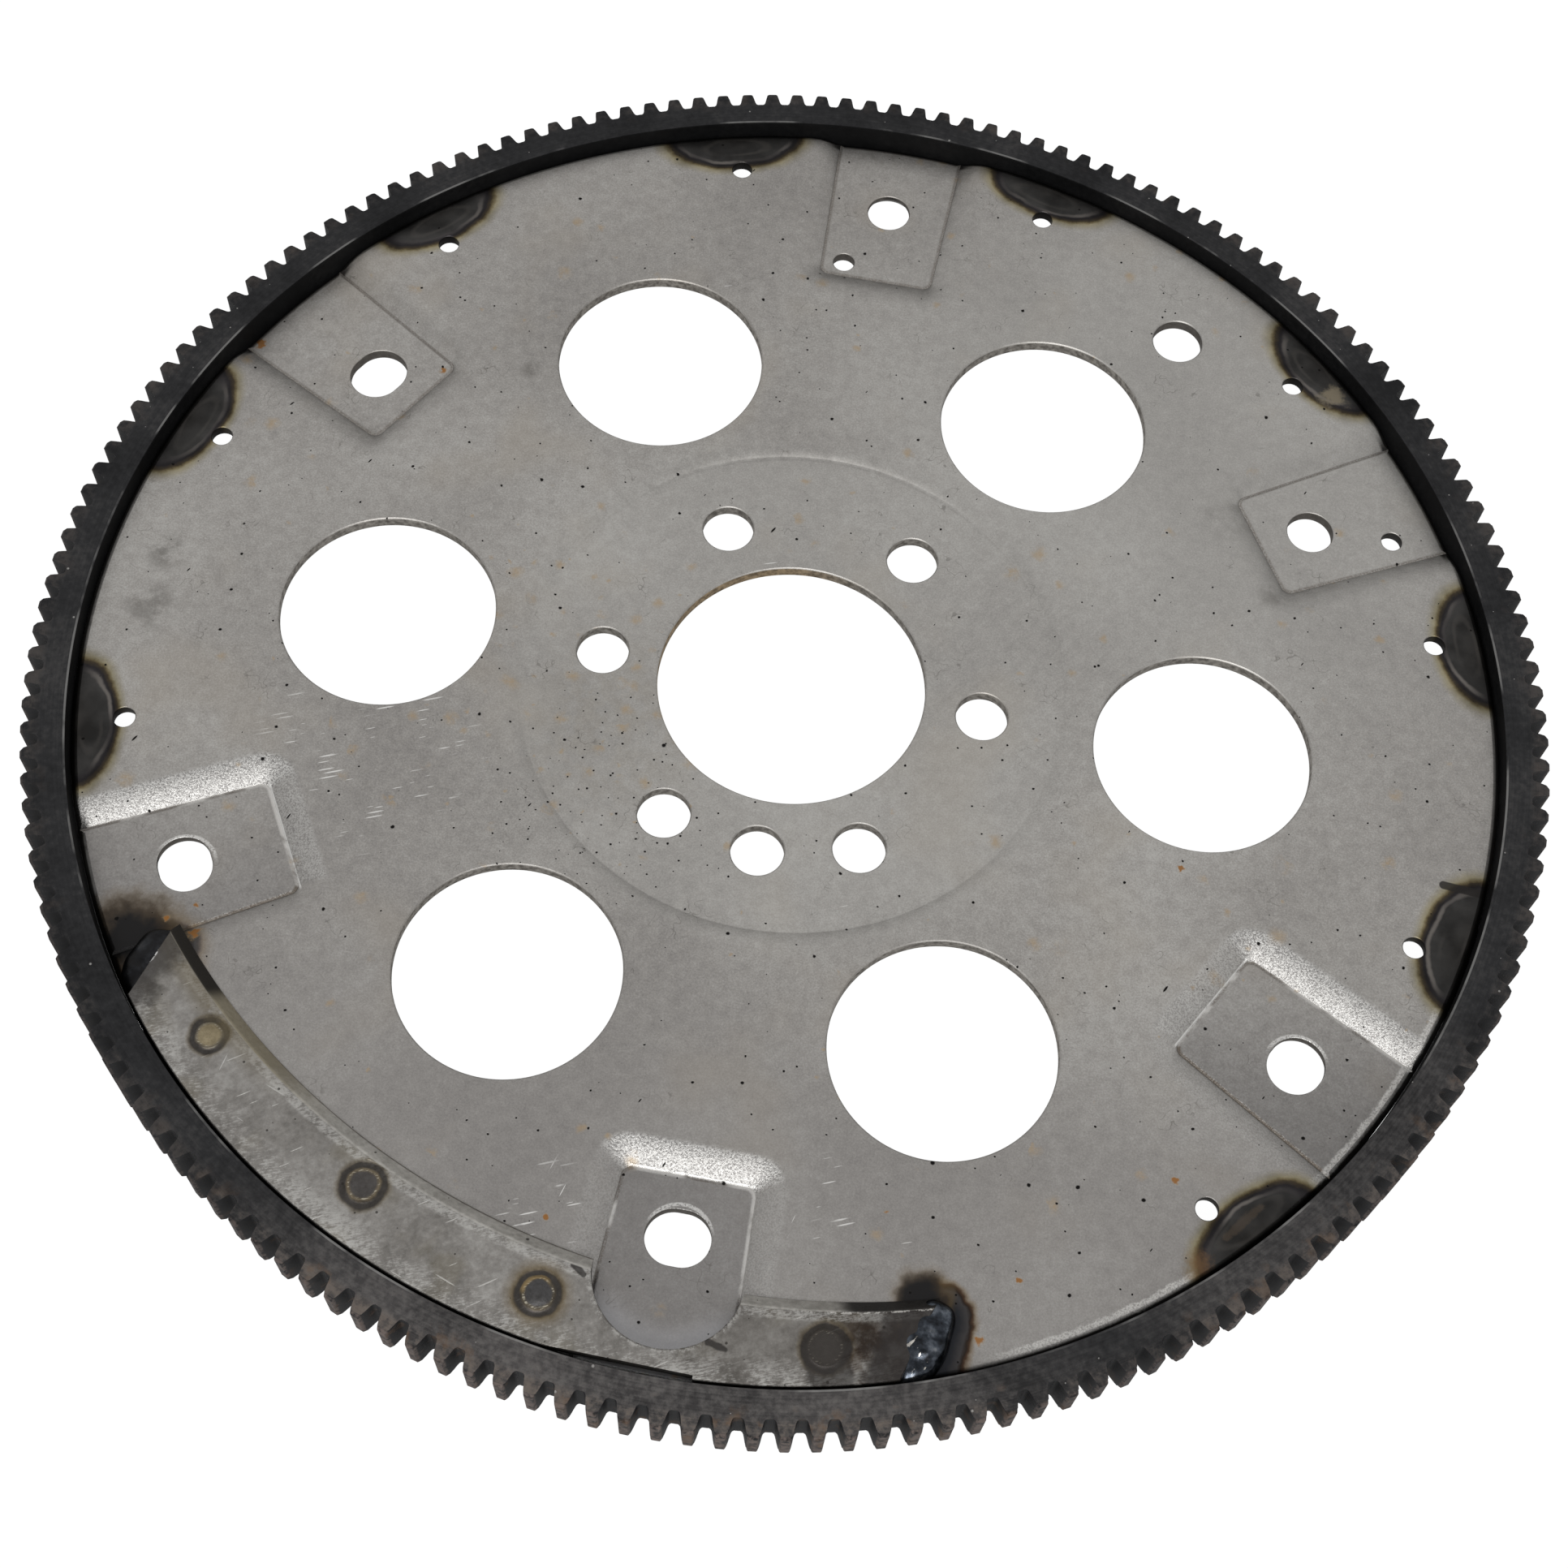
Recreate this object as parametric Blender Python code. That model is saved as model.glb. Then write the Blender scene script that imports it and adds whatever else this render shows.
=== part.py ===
"""Flexplate: a pressed steel disc with a toothed ring gear and a balance weight welded to it.

The engine side faces +Z, the crankshaft axis is the Z axis, and one of the six large
lightening holes lies on +X. The ring gear's lower face rests on z = 0. Lengths are in metres.
"""

import math

import bmesh
import bpy
from mathutils import Matrix, Vector

MM = 0.001
INCH = 0.0254
WELD_GAP = 0.3 * MM  # clearance kept between two pieces that a weld joins

# Ring gear
TOOTH_COUNT = 168
TIP_RADIUS = 178.0 * MM
TOOTH_HEIGHT = 4.2 * MM
RING_WALL = 5.8 * MM  # from the tooth roots in to the ring's bore
RING_WIDTH = 12.4 * MM
TIP_LAND = 1.9 * MM
ROOT_LAND = 1.5 * MM
ROOT_FILLET = 1.0 * MM
RING_EDGE_BREAK = 0.4 * MM
TOOTH_PHASE = math.radians(1.16)
RING_BORE_SEGMENTS = 84

# Pressed disc
RING_ABOVE_PLATE = 4.1 * MM  # how far the ring's upper face stands above the disc
PLATE_THICKNESS = 3.0 * MM
RIM_CLEARANCE = 0.4 * MM
RIM_ROUNDING = 1.6 * MM
HUB_RADIUS = 64.5 * MM
HUB_STEP_RUN = 4.6 * MM
HUB_SINK = 1.2 * MM
HOLE_ROLLOVER = 0.45 * MM
ROOT_RADIUS = TIP_RADIUS - TOOTH_HEIGHT
RING_BORE_RADIUS = ROOT_RADIUS - RING_WALL
PLATE_RADIUS = RING_BORE_RADIUS - RIM_CLEARANCE
RIM_SEGMENTS = 84
HUB_SEGMENTS = 48

# Holes through the disc; those near the rim are placed by their distance from it
CRANK_CIRCLE_DIAMETER = 3.58 * INCH
CRANK_HOLE_DIAMETER = 12.4 * MM
BORE_WEB = 7.516 * MM  # left between the bore and each crankshaft hole
BORE_DIAMETER = CRANK_CIRCLE_DIAMETER - CRANK_HOLE_DIAMETER - 2 * BORE_WEB
CRANK_HOLE_ANGLES = (0, 60, 120, 180, 240, 300)
SEVENTH_HOLE_ANGLE = 270
SEVENTH_HOLE_INSET = 0.85 * MM  # it sits inside the circle of the other six
LIGHTENING_INNER_WEB = 7.7 * MM  # left between the hub and each lightening hole
LIGHTENING_OUTER_WEB = 44.2 * MM  # left between each lightening hole and the rim
LIGHTENING_DIAMETER = PLATE_RADIUS - HUB_RADIUS - LIGHTENING_INNER_WEB - LIGHTENING_OUTER_WEB
LIGHTENING_CIRCLE_RADIUS = HUB_RADIUS + LIGHTENING_INNER_WEB + LIGHTENING_DIAMETER / 2
LIGHTENING_COUNT = 6
RIM_HOLE_INSET = 12.3 * MM
RIM_HOLE_DIAMETER = 5.5 * MM
RIM_HOLE_COUNT = 12
TIMING_HOLE_INSET = 25.5 * MM
TIMING_HOLE_DIAMETER = 12.5 * MM
TIMING_HOLE_ANGLE = 56.0

# Converter pads, pressed away from the engine
PAD_COUNT = 6
PAD_DEPTH = 2.5 * MM
PAD_LENGTH = 44.9 * MM
PAD_HALF_WIDTH_INNER = 14.8 * MM
PAD_HALF_WIDTH_RIM = 16.6 * MM
PAD_CORNER_RADIUS = 2.5 * MM
PAD_SLOPE_RUN = 8.0 * MM
SMALL_CIRCLE_INSET = 31.075 * MM  # puts these bolts on a 10.75 in circle
LARGE_CIRCLE_INSET = 21.55 * MM  # puts these bolts on an 11.5 in circle
SLOT_LENGTH = 14.5 * MM
SLOT_WIDTH = 12.4 * MM
FREE_BOLT_DIAMETER = 12.6 * MM
SNUG_BOLT_DIAMETER = 11.2 * MM
PEEP_HOLE_DIAMETER = 5.3 * MM
PEEP_HOLES = ((12.7 * MM, 26.7), (40.0 * MM, 94.0))  # distance from the rim and angle of each
PAD_INNER_RADIUS = PLATE_RADIUS - PAD_LENGTH

# Balance weight on the engine side
WEIGHT_THICKNESS = 3.0 * MM
WEIGHT_ANGLE = 253.9
WEIGHT_HALF_LENGTH = 93.0 * MM
WEIGHT_RIM_CLEARANCE = 1.0 * MM
WEIGHT_MIDDLE_WIDTH = 18.0 * MM
WEIGHT_END_WIDTH = 13.7 * MM
WEIGHT_BEVEL_RUN = 3.2 * MM
NOTCH_RADIUS = 16.2 * MM
NOTCH_INSET = 21.4 * MM
NOTCH_ANGLE = 270.0
RELIEF_DEPTH = 0.9 * MM
RELIEF_ANGLES = (261.5, 273.0)
# Distance of each spot weld from the weight's outer edge, and its share of the half length
SPOT_WELDS = ((10.6 * MM, -0.7765), (12.3 * MM, -0.2746), (9.7 * MM, 0.1973), (7.9 * MM, 0.8215))
SPOT_DIAMETER = 7.6 * MM
SPOT_DEPTH = 0.35 * MM

# Weld beads
STITCH_COUNT = 12
STITCH_LENGTH = 25.0 * MM
STITCH_LEG = 3.8 * MM
END_BEAD_LENGTH = 16.5 * MM
END_BEAD_WIDTH = 7.0 * MM
END_BEAD_HEIGHT = 3.4 * MM
END_BEAD_INSET = 8.0 * MM

PLATE_TOP = RING_WIDTH - RING_ABOVE_PLATE
PLATE_BOTTOM = PLATE_TOP - PLATE_THICKNESS
PAD_FLOOR = PLATE_TOP - PAD_DEPTH
HUB_TOP = PLATE_TOP - HUB_SINK
CUT_MARGIN = 5.0 * MM  # how far a cutter runs past what it cuts


def clear_scene():
    for thing in list(bpy.data.objects):
        bpy.data.objects.remove(thing, do_unlink=True)


def steel(name, colour, roughness, metallic):
    material = bpy.data.materials.new(name)
    material.use_nodes = True
    shader = material.node_tree.nodes["Principled BSDF"]
    shader.inputs["Base Color"].default_value = (*colour, 1.0)
    shader.inputs["Roughness"].default_value = roughness
    shader.inputs["Metallic"].default_value = metallic
    material.diffuse_color = (*colour, 1.0)
    return material


def to_object(name, bm, material=None, smooth_angle=None):
    bmesh.ops.recalc_face_normals(bm, faces=bm.faces)
    mesh = bpy.data.meshes.new(name)
    bm.to_mesh(mesh)
    bm.free()
    thing = bpy.data.objects.new(name, mesh)
    bpy.context.scene.collection.objects.link(thing)
    if material:
        mesh.materials.append(material)
    if smooth_angle:
        mesh.shade_smooth()
        mesh.set_sharp_from_angle(angle=math.radians(smooth_angle))
    return thing


def cutter(name, bm):
    thing = to_object(name, bm)
    thing.hide_render = True
    thing.display_type = "WIRE"
    return thing


def boolean(thing, other, operation):
    modifier = thing.modifiers.new(other.name, "BOOLEAN")
    modifier.operation = operation
    modifier.solver = "EXACT"
    modifier.object = other


def polar(radius, degrees, z=0.0):
    angle = math.radians(degrees)
    return Vector((radius * math.cos(angle), radius * math.sin(angle), z))


def turned(radius, degrees):
    """Matrix that carries a shape drawn at the origin out to a radius and an angle."""
    spin = Matrix.Rotation(math.radians(degrees), 4, "Z")
    return spin @ Matrix.Translation((radius, 0, 0))


def loop_edges(bm, points):
    verts = [bm.verts.new(point) for point in points]
    return [bm.edges.new((a, b)) for a, b in zip(verts, verts[1:] + verts[:1])]


def loft(bm, outlines):
    """Closed solid through outlines that have the same number of points, lowest first."""
    rings = [loop_edges(bm, outline) for outline in outlines]
    for low, high in zip(rings, rings[1:]):
        bmesh.ops.bridge_loops(bm, edges=low + high)
    for ring in (rings[0], rings[-1]):
        bmesh.ops.contextual_create(bm, geom=ring)


def circle_points(radius, z, segments, half_slot=0.0):
    """A circle, or with half_slot a slot whose long axis is Y."""
    points = []
    for i in range(segments):
        angle = 2 * math.pi * (i + 0.5) / segments
        x, y = radius * math.cos(angle), radius * math.sin(angle)
        points.append(Vector((x, y + math.copysign(half_slot, y), z)))
    return points


def add_hole(bm, radius, degrees, diameter, face_z, segments, slot=0.0, rollover=HOLE_ROLLOVER):
    """Punch for one hole: straight below, flared where the pressed edge rolls over."""
    place = turned(radius, degrees)
    half_slot = slot / 2
    sections = [
        (diameter / 2, -CUT_MARGIN),
        (diameter / 2, face_z - rollover),
        (diameter / 2 + rollover + CUT_MARGIN, face_z + CUT_MARGIN),
    ]
    if not rollover:
        sections = [(diameter / 2, -CUT_MARGIN), (diameter / 2, face_z + CUT_MARGIN)]
    outlines = []
    for size, z in sections:
        outlines.append([place @ point for point in circle_points(size, z, segments, half_slot)])
    loft(bm, outlines)


def spin_profile(bm, profile, segments):
    """Ring turned from a closed profile of (radius, height) points."""
    edges = loop_edges(bm, [Vector((r, 0, z)) for r, z in profile])
    verts = list({vert for edge in edges for vert in edge.verts})
    bmesh.ops.spin(
        bm,
        geom=verts + edges,
        axis=(0, 0, 1),
        cent=(0, 0, 0),
        angle=2 * math.pi,
        steps=segments,
        use_merge=True,
    )
    bmesh.ops.remove_doubles(bm, verts=bm.verts, dist=1e-6)


# Disc


def disc_blank(material):
    """Turned blank, left a little oversize, with the hub set down from the rest."""
    step = HUB_RADIUS + HUB_STEP_RUN
    inner = BORE_DIAMETER / 4
    outer = PLATE_RADIUS + CUT_MARGIN / 2
    top = [(inner, HUB_TOP), (HUB_RADIUS, HUB_TOP), (step, PLATE_TOP), (outer, PLATE_TOP)]
    bottom = [(r, z - PLATE_THICKNESS) for r, z in reversed(top)]
    bm = bmesh.new()
    spin_profile(bm, top + bottom, HUB_SEGMENTS)
    return to_object("flexplate_disc", bm, material, smooth_angle=35)


def pad_outline(offset, z, place):
    """Pad floor outline grown by offset, with rounded inner corners, open past the rim."""
    reach = PLATE_RADIUS + 2 * CUT_MARGIN
    taper = (PAD_HALF_WIDTH_RIM - PAD_HALF_WIDTH_INNER) / (PLATE_RADIUS - PAD_INNER_RADIUS)
    corner = PAD_CORNER_RADIUS
    half_inner = PAD_HALF_WIDTH_INNER + offset
    half_outer = half_inner + taper * (reach - PAD_INNER_RADIUS)
    inner = PAD_INNER_RADIUS - offset
    radius = corner + 0.6 * offset
    steps = 4
    points = [Vector((reach, -half_outer, z))]
    for side, start in ((-1, 270), (1, 180)):
        centre = Vector((inner + radius, side * (half_inner - radius), z))
        for i in range(steps + 1):
            angle = math.radians(start - 90 * i / steps)
            points.append(centre + Vector((radius * math.cos(angle), radius * math.sin(angle), 0)))
    points.append(Vector((reach, half_outer, z)))
    return [place @ point for point in points]


def add_pad_form(bm, degrees, drop, ceiling):
    """Pad recess as a solid: a floor, a wall that eases into the disc, then straight up."""
    place = Matrix.Rotation(math.radians(degrees), 4, "Z")
    floor = PAD_FLOOR - drop
    wall = [(0.0, 0.0), (0.28, 0.45), (0.6, 0.85), (1.0, 1.0)]  # share of run, share of depth
    outlines = []
    for run, rise in wall:
        outlines.append(pad_outline(run * PAD_SLOPE_RUN, floor + rise * PAD_DEPTH, place))
    outlines.append(pad_outline(PAD_SLOPE_RUN, ceiling, place))
    loft(bm, outlines)


def pad_angles():
    return [360 / PAD_COUNT * (i + 0.5) for i in range(PAD_COUNT)]


def pad_bosses():
    """What the pads push out below the disc."""
    bm = bmesh.new()
    for degrees in pad_angles():
        add_pad_form(bm, degrees, PLATE_THICKNESS, PLATE_BOTTOM + PLATE_THICKNESS / 3)
    return cutter("pad_bosses", bm)


def pad_recesses():
    bm = bmesh.new()
    for degrees in pad_angles():
        add_pad_form(bm, degrees, 0.0, PLATE_TOP + CUT_MARGIN)
    return cutter("pad_recesses", bm)


def rim_trim():
    """Cuts the blank to its diameter and rounds its upper edge."""
    outer = PLATE_RADIUS + 3 * CUT_MARGIN
    profile = [
        (outer, -CUT_MARGIN),
        (PLATE_RADIUS, -CUT_MARGIN),
        (PLATE_RADIUS, PLATE_TOP - RIM_ROUNDING),
        (PLATE_RADIUS - 0.3 * RIM_ROUNDING, PLATE_TOP - 0.3 * RIM_ROUNDING),
        (PLATE_RADIUS - RIM_ROUNDING - CUT_MARGIN / 3, PLATE_TOP + 0.2 * MM),
        (PLATE_RADIUS - RIM_ROUNDING - CUT_MARGIN / 3, PLATE_TOP + CUT_MARGIN),
        (outer, PLATE_TOP + CUT_MARGIN),
    ]
    bm = bmesh.new()
    spin_profile(bm, profile, RIM_SEGMENTS)
    return cutter("rim_trim", bm)


def hole_punches():
    bm = bmesh.new()
    add_hole(bm, 0.0, 0.0, BORE_DIAMETER, HUB_TOP, 56)
    for degrees in CRANK_HOLE_ANGLES:
        add_hole(bm, CRANK_CIRCLE_DIAMETER / 2, degrees, CRANK_HOLE_DIAMETER, HUB_TOP, 18)
    inset = CRANK_CIRCLE_DIAMETER / 2 - SEVENTH_HOLE_INSET
    add_hole(bm, inset, SEVENTH_HOLE_ANGLE, CRANK_HOLE_DIAMETER, HUB_TOP, 18)
    for i in range(LIGHTENING_COUNT):
        degrees = 360 / LIGHTENING_COUNT * i
        add_hole(bm, LIGHTENING_CIRCLE_RADIUS, degrees, LIGHTENING_DIAMETER, PLATE_TOP, 36)
    for i in range(RIM_HOLE_COUNT):
        degrees = 360 / RIM_HOLE_COUNT * (i + 0.5)
        radius = PLATE_RADIUS - RIM_HOLE_INSET
        add_hole(bm, radius, degrees, RIM_HOLE_DIAMETER, PLATE_TOP, 10, rollover=0.0)
    radius = PLATE_RADIUS - TIMING_HOLE_INSET
    add_hole(bm, radius, TIMING_HOLE_ANGLE, TIMING_HOLE_DIAMETER, PLATE_TOP, 18)
    for degrees, inset, diameter, slot in converter_holes():
        add_hole(bm, PLATE_RADIUS - inset, degrees, diameter, PAD_FLOOR, 18, slot)
    for inset, degrees in PEEP_HOLES:
        radius = PLATE_RADIUS - inset
        add_hole(bm, radius, degrees, PEEP_HOLE_DIAMETER, PAD_FLOOR, 10, rollover=0.0)
    return cutter("hole_punches", bm)


def converter_holes():
    """Angle, distance from the rim, diameter and slot length of the hole in each pad."""
    slot = SLOT_LENGTH - SLOT_WIDTH
    return (
        (30, SMALL_CIRCLE_INSET, SNUG_BOLT_DIAMETER, 0.0),
        (90, LARGE_CIRCLE_INSET, SNUG_BOLT_DIAMETER, 0.0),
        (150, SMALL_CIRCLE_INSET, SLOT_WIDTH, slot),
        (210, LARGE_CIRCLE_INSET, FREE_BOLT_DIAMETER, 0.0),
        (270, SMALL_CIRCLE_INSET, SLOT_WIDTH, slot),
        (330, LARGE_CIRCLE_INSET, FREE_BOLT_DIAMETER, 0.0),
    )


def make_disc():
    material = steel("bare_pressed_steel", (0.36, 0.355, 0.34), 0.45, 0.85)
    disc = disc_blank(material)
    boolean(disc, pad_bosses(), "UNION")
    boolean(disc, pad_recesses(), "DIFFERENCE")
    boolean(disc, rim_trim(), "DIFFERENCE")
    boolean(disc, hole_punches(), "DIFFERENCE")
    return disc


# Ring gear


def tooth_points():
    """One tooth as (angle, radius) pairs, from root to root, centred on angle zero."""
    pitch = 2 * math.pi / TOOTH_COUNT
    root_half = (pitch - ROOT_LAND / ROOT_RADIUS) / 2
    tip_half = TIP_LAND / 2 / TIP_RADIUS
    lift = ROOT_FILLET / (TIP_RADIUS - ROOT_RADIUS)
    knee_half = tip_half + (root_half - tip_half) * (1 - lift) * 0.86
    knee = ROOT_RADIUS + ROOT_FILLET
    half = [(root_half, ROOT_RADIUS), (knee_half, knee), (tip_half, TIP_RADIUS)]
    return [(-a, r) for a, r in half] + [(a, r) for a, r in reversed(half)]


def make_ring_gear():
    material = steel("black_gear_steel", (0.035, 0.033, 0.032), 0.5, 0.6)
    bm = bmesh.new()
    outline = []
    for tooth in range(TOOTH_COUNT):
        centre = TOOTH_PHASE + 2 * math.pi * tooth / TOOTH_COUNT
        for angle, radius in tooth_points():
            outline.append(polar(radius, math.degrees(centre + angle)))
    outer = loop_edges(bm, outline)
    bore = [polar(RING_BORE_RADIUS, 360 * i / RING_BORE_SEGMENTS) for i in range(RING_BORE_SEGMENTS)]
    inner = loop_edges(bm, bore)
    face = bmesh.ops.triangle_fill(bm, edges=outer + inner, use_beauty=True)["geom"]
    faces = [item for item in face if isinstance(item, bmesh.types.BMFace)]
    raised = bmesh.ops.extrude_face_region(bm, geom=faces)["geom"]
    top = [item for item in raised if isinstance(item, bmesh.types.BMVert)]
    bmesh.ops.translate(bm, verts=top, vec=(0, 0, RING_WIDTH))
    broken = []
    for edge in bm.edges:
        ends = edge.verts
        at_bore = all(abs(v.co.xy.length - RING_BORE_RADIUS) < 0.01 * MM for v in ends)
        at_top = all(v.co.z > RING_WIDTH / 2 for v in ends)
        if at_bore and at_top:
            broken.append(edge)
    bmesh.ops.bevel(
        bm, geom=broken, offset=RING_EDGE_BREAK, segments=1, profile=0.5, affect="EDGES", material=-1
    )
    return to_object("ring_gear", bm, material)


# Balance weight


def weight_frame(z=0.0):
    """Matrix whose X axis is the weight's line of symmetry."""
    return Matrix.Rotation(math.radians(WEIGHT_ANGLE), 4, "Z") @ Matrix.Translation((0, 0, z))


def weight_outer_radius():
    return RING_BORE_RADIUS - WEIGHT_RIM_CLEARANCE


def weight_inner_arc():
    """Radius and centre offset of the inner edge, flatter than the outer edge."""
    outer = weight_outer_radius()
    end = math.asin(WEIGHT_HALF_LENGTH / outer)
    middle_x = outer - WEIGHT_MIDDLE_WIDTH
    end_radius = outer - WEIGHT_END_WIDTH
    end_x = math.sqrt(end_radius**2 - WEIGHT_HALF_LENGTH**2)
    fall = middle_x - end_x
    radius = (fall**2 + WEIGHT_HALF_LENGTH**2) / (2 * fall)
    return radius, middle_x - radius, end


def weight_outline(z, growth):
    """Outline of the weight with its inner edge moved inwards by growth."""
    outer = weight_outer_radius()
    radius, centre_x, end = weight_inner_arc()
    steps = 20
    points = []
    for i in range(steps + 1):
        angle = end - 2 * end * i / steps
        points.append(Vector((outer * math.cos(angle), outer * math.sin(angle), z)))
    inner_end = math.asin(WEIGHT_HALF_LENGTH / radius)
    for i in range(steps + 1):
        angle = -inner_end + 2 * inner_end * i / steps
        x = centre_x + radius * math.cos(angle) - growth
        points.append(Vector((x, radius * math.sin(angle), z)))
    place = weight_frame()
    return [place @ point for point in points]


def weight_notch():
    """U-shaped opening that clears the converter bolt below the weight."""
    bm = bmesh.new()
    low, high = PLATE_TOP - CUT_MARGIN, PLATE_TOP + WEIGHT_THICKNESS + CUT_MARGIN
    steps = 12
    outlines = []
    for z in (low, high):
        points = [Vector((-3 * NOTCH_RADIUS, side * NOTCH_RADIUS, z)) for side in (1, -1)]
        for i in range(steps + 1):
            angle = -math.pi / 2 + math.pi * i / steps
            points.append(NOTCH_RADIUS * Vector((math.cos(angle), math.sin(angle), 0)) + Vector((0, 0, z)))
        place = turned(weight_outer_radius() - NOTCH_INSET, NOTCH_ANGLE)
        outlines.append([place @ point for point in points])
    loft(bm, outlines)
    return cutter("weight_notch", bm)


def weight_relief():
    """Shallow flat on the outer edge that ends in a small step."""
    bm = bmesh.new()
    low, high = PLATE_TOP - CUT_MARGIN, PLATE_TOP + WEIGHT_THICKNESS + CUT_MARGIN
    outer = weight_outer_radius()
    start, end = RELIEF_ANGLES
    corners = [
        polar(outer + 0.05 * MM, start),
        polar(outer - RELIEF_DEPTH, end),
        polar(outer + CUT_MARGIN, end),
        polar(outer + CUT_MARGIN, start),
    ]
    loft(bm, [[corner + Vector((0, 0, z)) for corner in corners] for z in (low, high)])
    return cutter("weight_relief", bm)


def spot_marks():
    """Shallow round marks that the welding tip leaves."""
    bm = bmesh.new()
    top = PLATE_TOP + WELD_GAP + WEIGHT_THICKNESS
    for inset, share in SPOT_WELDS:
        radius = weight_outer_radius() - inset
        along = math.degrees(math.asin(share * WEIGHT_HALF_LENGTH / radius))
        place = turned(radius, WEIGHT_ANGLE + along)
        sections = [(SPOT_DIAMETER / 2 + rise, top + rise) for rise in (-SPOT_DEPTH, SPOT_DEPTH)]
        loft(bm, [[place @ p for p in circle_points(size, z, 14)] for size, z in sections])
    return cutter("spot_marks", bm)


def make_weight():
    material = steel("weight_steel", (0.30, 0.295, 0.28), 0.5, 0.8)
    bottom = PLATE_TOP + WELD_GAP
    bm = bmesh.new()
    loft(bm, [weight_outline(bottom, WEIGHT_BEVEL_RUN), weight_outline(bottom + WEIGHT_THICKNESS, 0.0)])
    weight = to_object("balance_weight", bm, material)
    boolean(weight, weight_notch(), "DIFFERENCE")
    boolean(weight, weight_relief(), "DIFFERENCE")
    boolean(weight, spot_marks(), "DIFFERENCE")
    return weight


# Welds


def make_stitch(number, degrees, material):
    """Fillet bead in the corner between the disc's underside and the ring's bore."""
    wall = RING_BORE_RADIUS - WELD_GAP
    roof = PLATE_BOTTOM - WELD_GAP
    sweep = math.degrees(STITCH_LENGTH / RING_BORE_RADIUS)
    steps = 6
    outlines = []
    for i in range(steps + 1):
        share = 2 * i / steps - 1
        leg = STITCH_LEG * math.sqrt(max(0.12, 1 - share**2))
        angle = degrees + sweep * share / 2
        bulge = leg * 0.62
        outlines.append(
            [
                polar(wall, angle, roof),
                polar(wall - leg, angle, roof),
                polar(wall - bulge, angle, roof - bulge),
                polar(wall, angle, roof - leg),
            ]
        )
    bm = bmesh.new()
    loft(bm, outlines)
    return to_object(f"stitch_weld_{number:02d}", bm, material)


def make_end_bead(name, side, material):
    """Rounded bead that closes one end of the weight onto the disc."""
    bm = bmesh.new()
    bmesh.ops.create_uvsphere(bm, u_segments=12, v_segments=6, radius=0.5)
    size = Vector((END_BEAD_LENGTH, 2 * END_BEAD_WIDTH, 2 * END_BEAD_HEIGHT))
    bmesh.ops.scale(bm, verts=bm.verts, vec=size)
    face_y = side * (WEIGHT_HALF_LENGTH + WELD_GAP)
    middle_radius = weight_outer_radius() - END_BEAD_INSET
    middle_x = math.sqrt(middle_radius**2 - WEIGHT_HALF_LENGTH**2)
    place = weight_frame(PLATE_TOP + WELD_GAP) @ Matrix.Translation((middle_x, face_y, 0))
    for normal in ((0, -side, 0), (0, 0, -1)):
        geom = bm.verts[:] + bm.edges[:] + bm.faces[:]
        cut = bmesh.ops.bisect_plane(
            bm, geom=geom, plane_co=(0, 0, 0), plane_no=normal, clear_outer=True, dist=1e-6
        )
        rim = [item for item in cut["geom_cut"] if isinstance(item, bmesh.types.BMEdge)]
        bmesh.ops.contextual_create(bm, geom=rim)
    bmesh.ops.transform(bm, matrix=place, verts=bm.verts)
    return to_object(name, bm, material)


def make_welds():
    material = steel("weld_metal", (0.09, 0.09, 0.095), 0.3, 0.9)
    for i in range(STITCH_COUNT):
        make_stitch(i + 1, 360 / STITCH_COUNT * (i + 0.5), material)
    make_end_bead("weight_weld_left", -1, material)
    make_end_bead("weight_weld_right", 1, material)


def main():
    clear_scene()
    make_disc()
    make_ring_gear()
    make_weight()
    make_welds()


main()
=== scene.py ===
# %% [markdown]
# # A flexplate, dressed for its photograph
#
# A flexplate is the thin steel disc between an engine and an automatic gearbox. It carries the
# starter's ring gear on its rim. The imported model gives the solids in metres, with the crankshaft
# axis on Z and the engine side up. This script keeps that frame, rebuilds each piece with finer
# edges, and gives each its own steel.

import math

import bmesh
import bpy
from mathutils import Matrix, Vector


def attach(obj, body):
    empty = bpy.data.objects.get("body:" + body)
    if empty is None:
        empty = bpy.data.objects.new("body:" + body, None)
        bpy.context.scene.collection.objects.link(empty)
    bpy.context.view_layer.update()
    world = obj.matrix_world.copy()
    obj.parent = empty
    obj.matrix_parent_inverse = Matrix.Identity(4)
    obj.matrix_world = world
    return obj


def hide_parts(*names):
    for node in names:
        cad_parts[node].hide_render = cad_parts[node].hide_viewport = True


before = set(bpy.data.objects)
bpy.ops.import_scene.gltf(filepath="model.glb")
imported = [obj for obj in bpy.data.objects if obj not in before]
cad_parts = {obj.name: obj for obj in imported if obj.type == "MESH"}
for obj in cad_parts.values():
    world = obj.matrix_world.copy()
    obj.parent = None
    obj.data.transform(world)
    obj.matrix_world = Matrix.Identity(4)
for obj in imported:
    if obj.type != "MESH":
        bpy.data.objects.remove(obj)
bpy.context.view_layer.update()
MM = 0.001

# %% [markdown]
# ## Camera
#
# The outlines of the holes in the photograph fix the camera: a plain pinhole above and in front
# of the plate, rolled a little to the left. Its three axes are built with cross products and go
# straight into the object's matrix.

# %% Place the camera
PLATE_TOP = 8.3 * MM
LENS_MM = 56.08
CAMERA_AT = Vector((29.995, -282.732, 502.165 + 8.3)) * MM
LOOK_AT = Vector((3.046, -27.364, 8.3)) * MM
CAMERA_ROLL = math.radians(4.7175)

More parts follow.
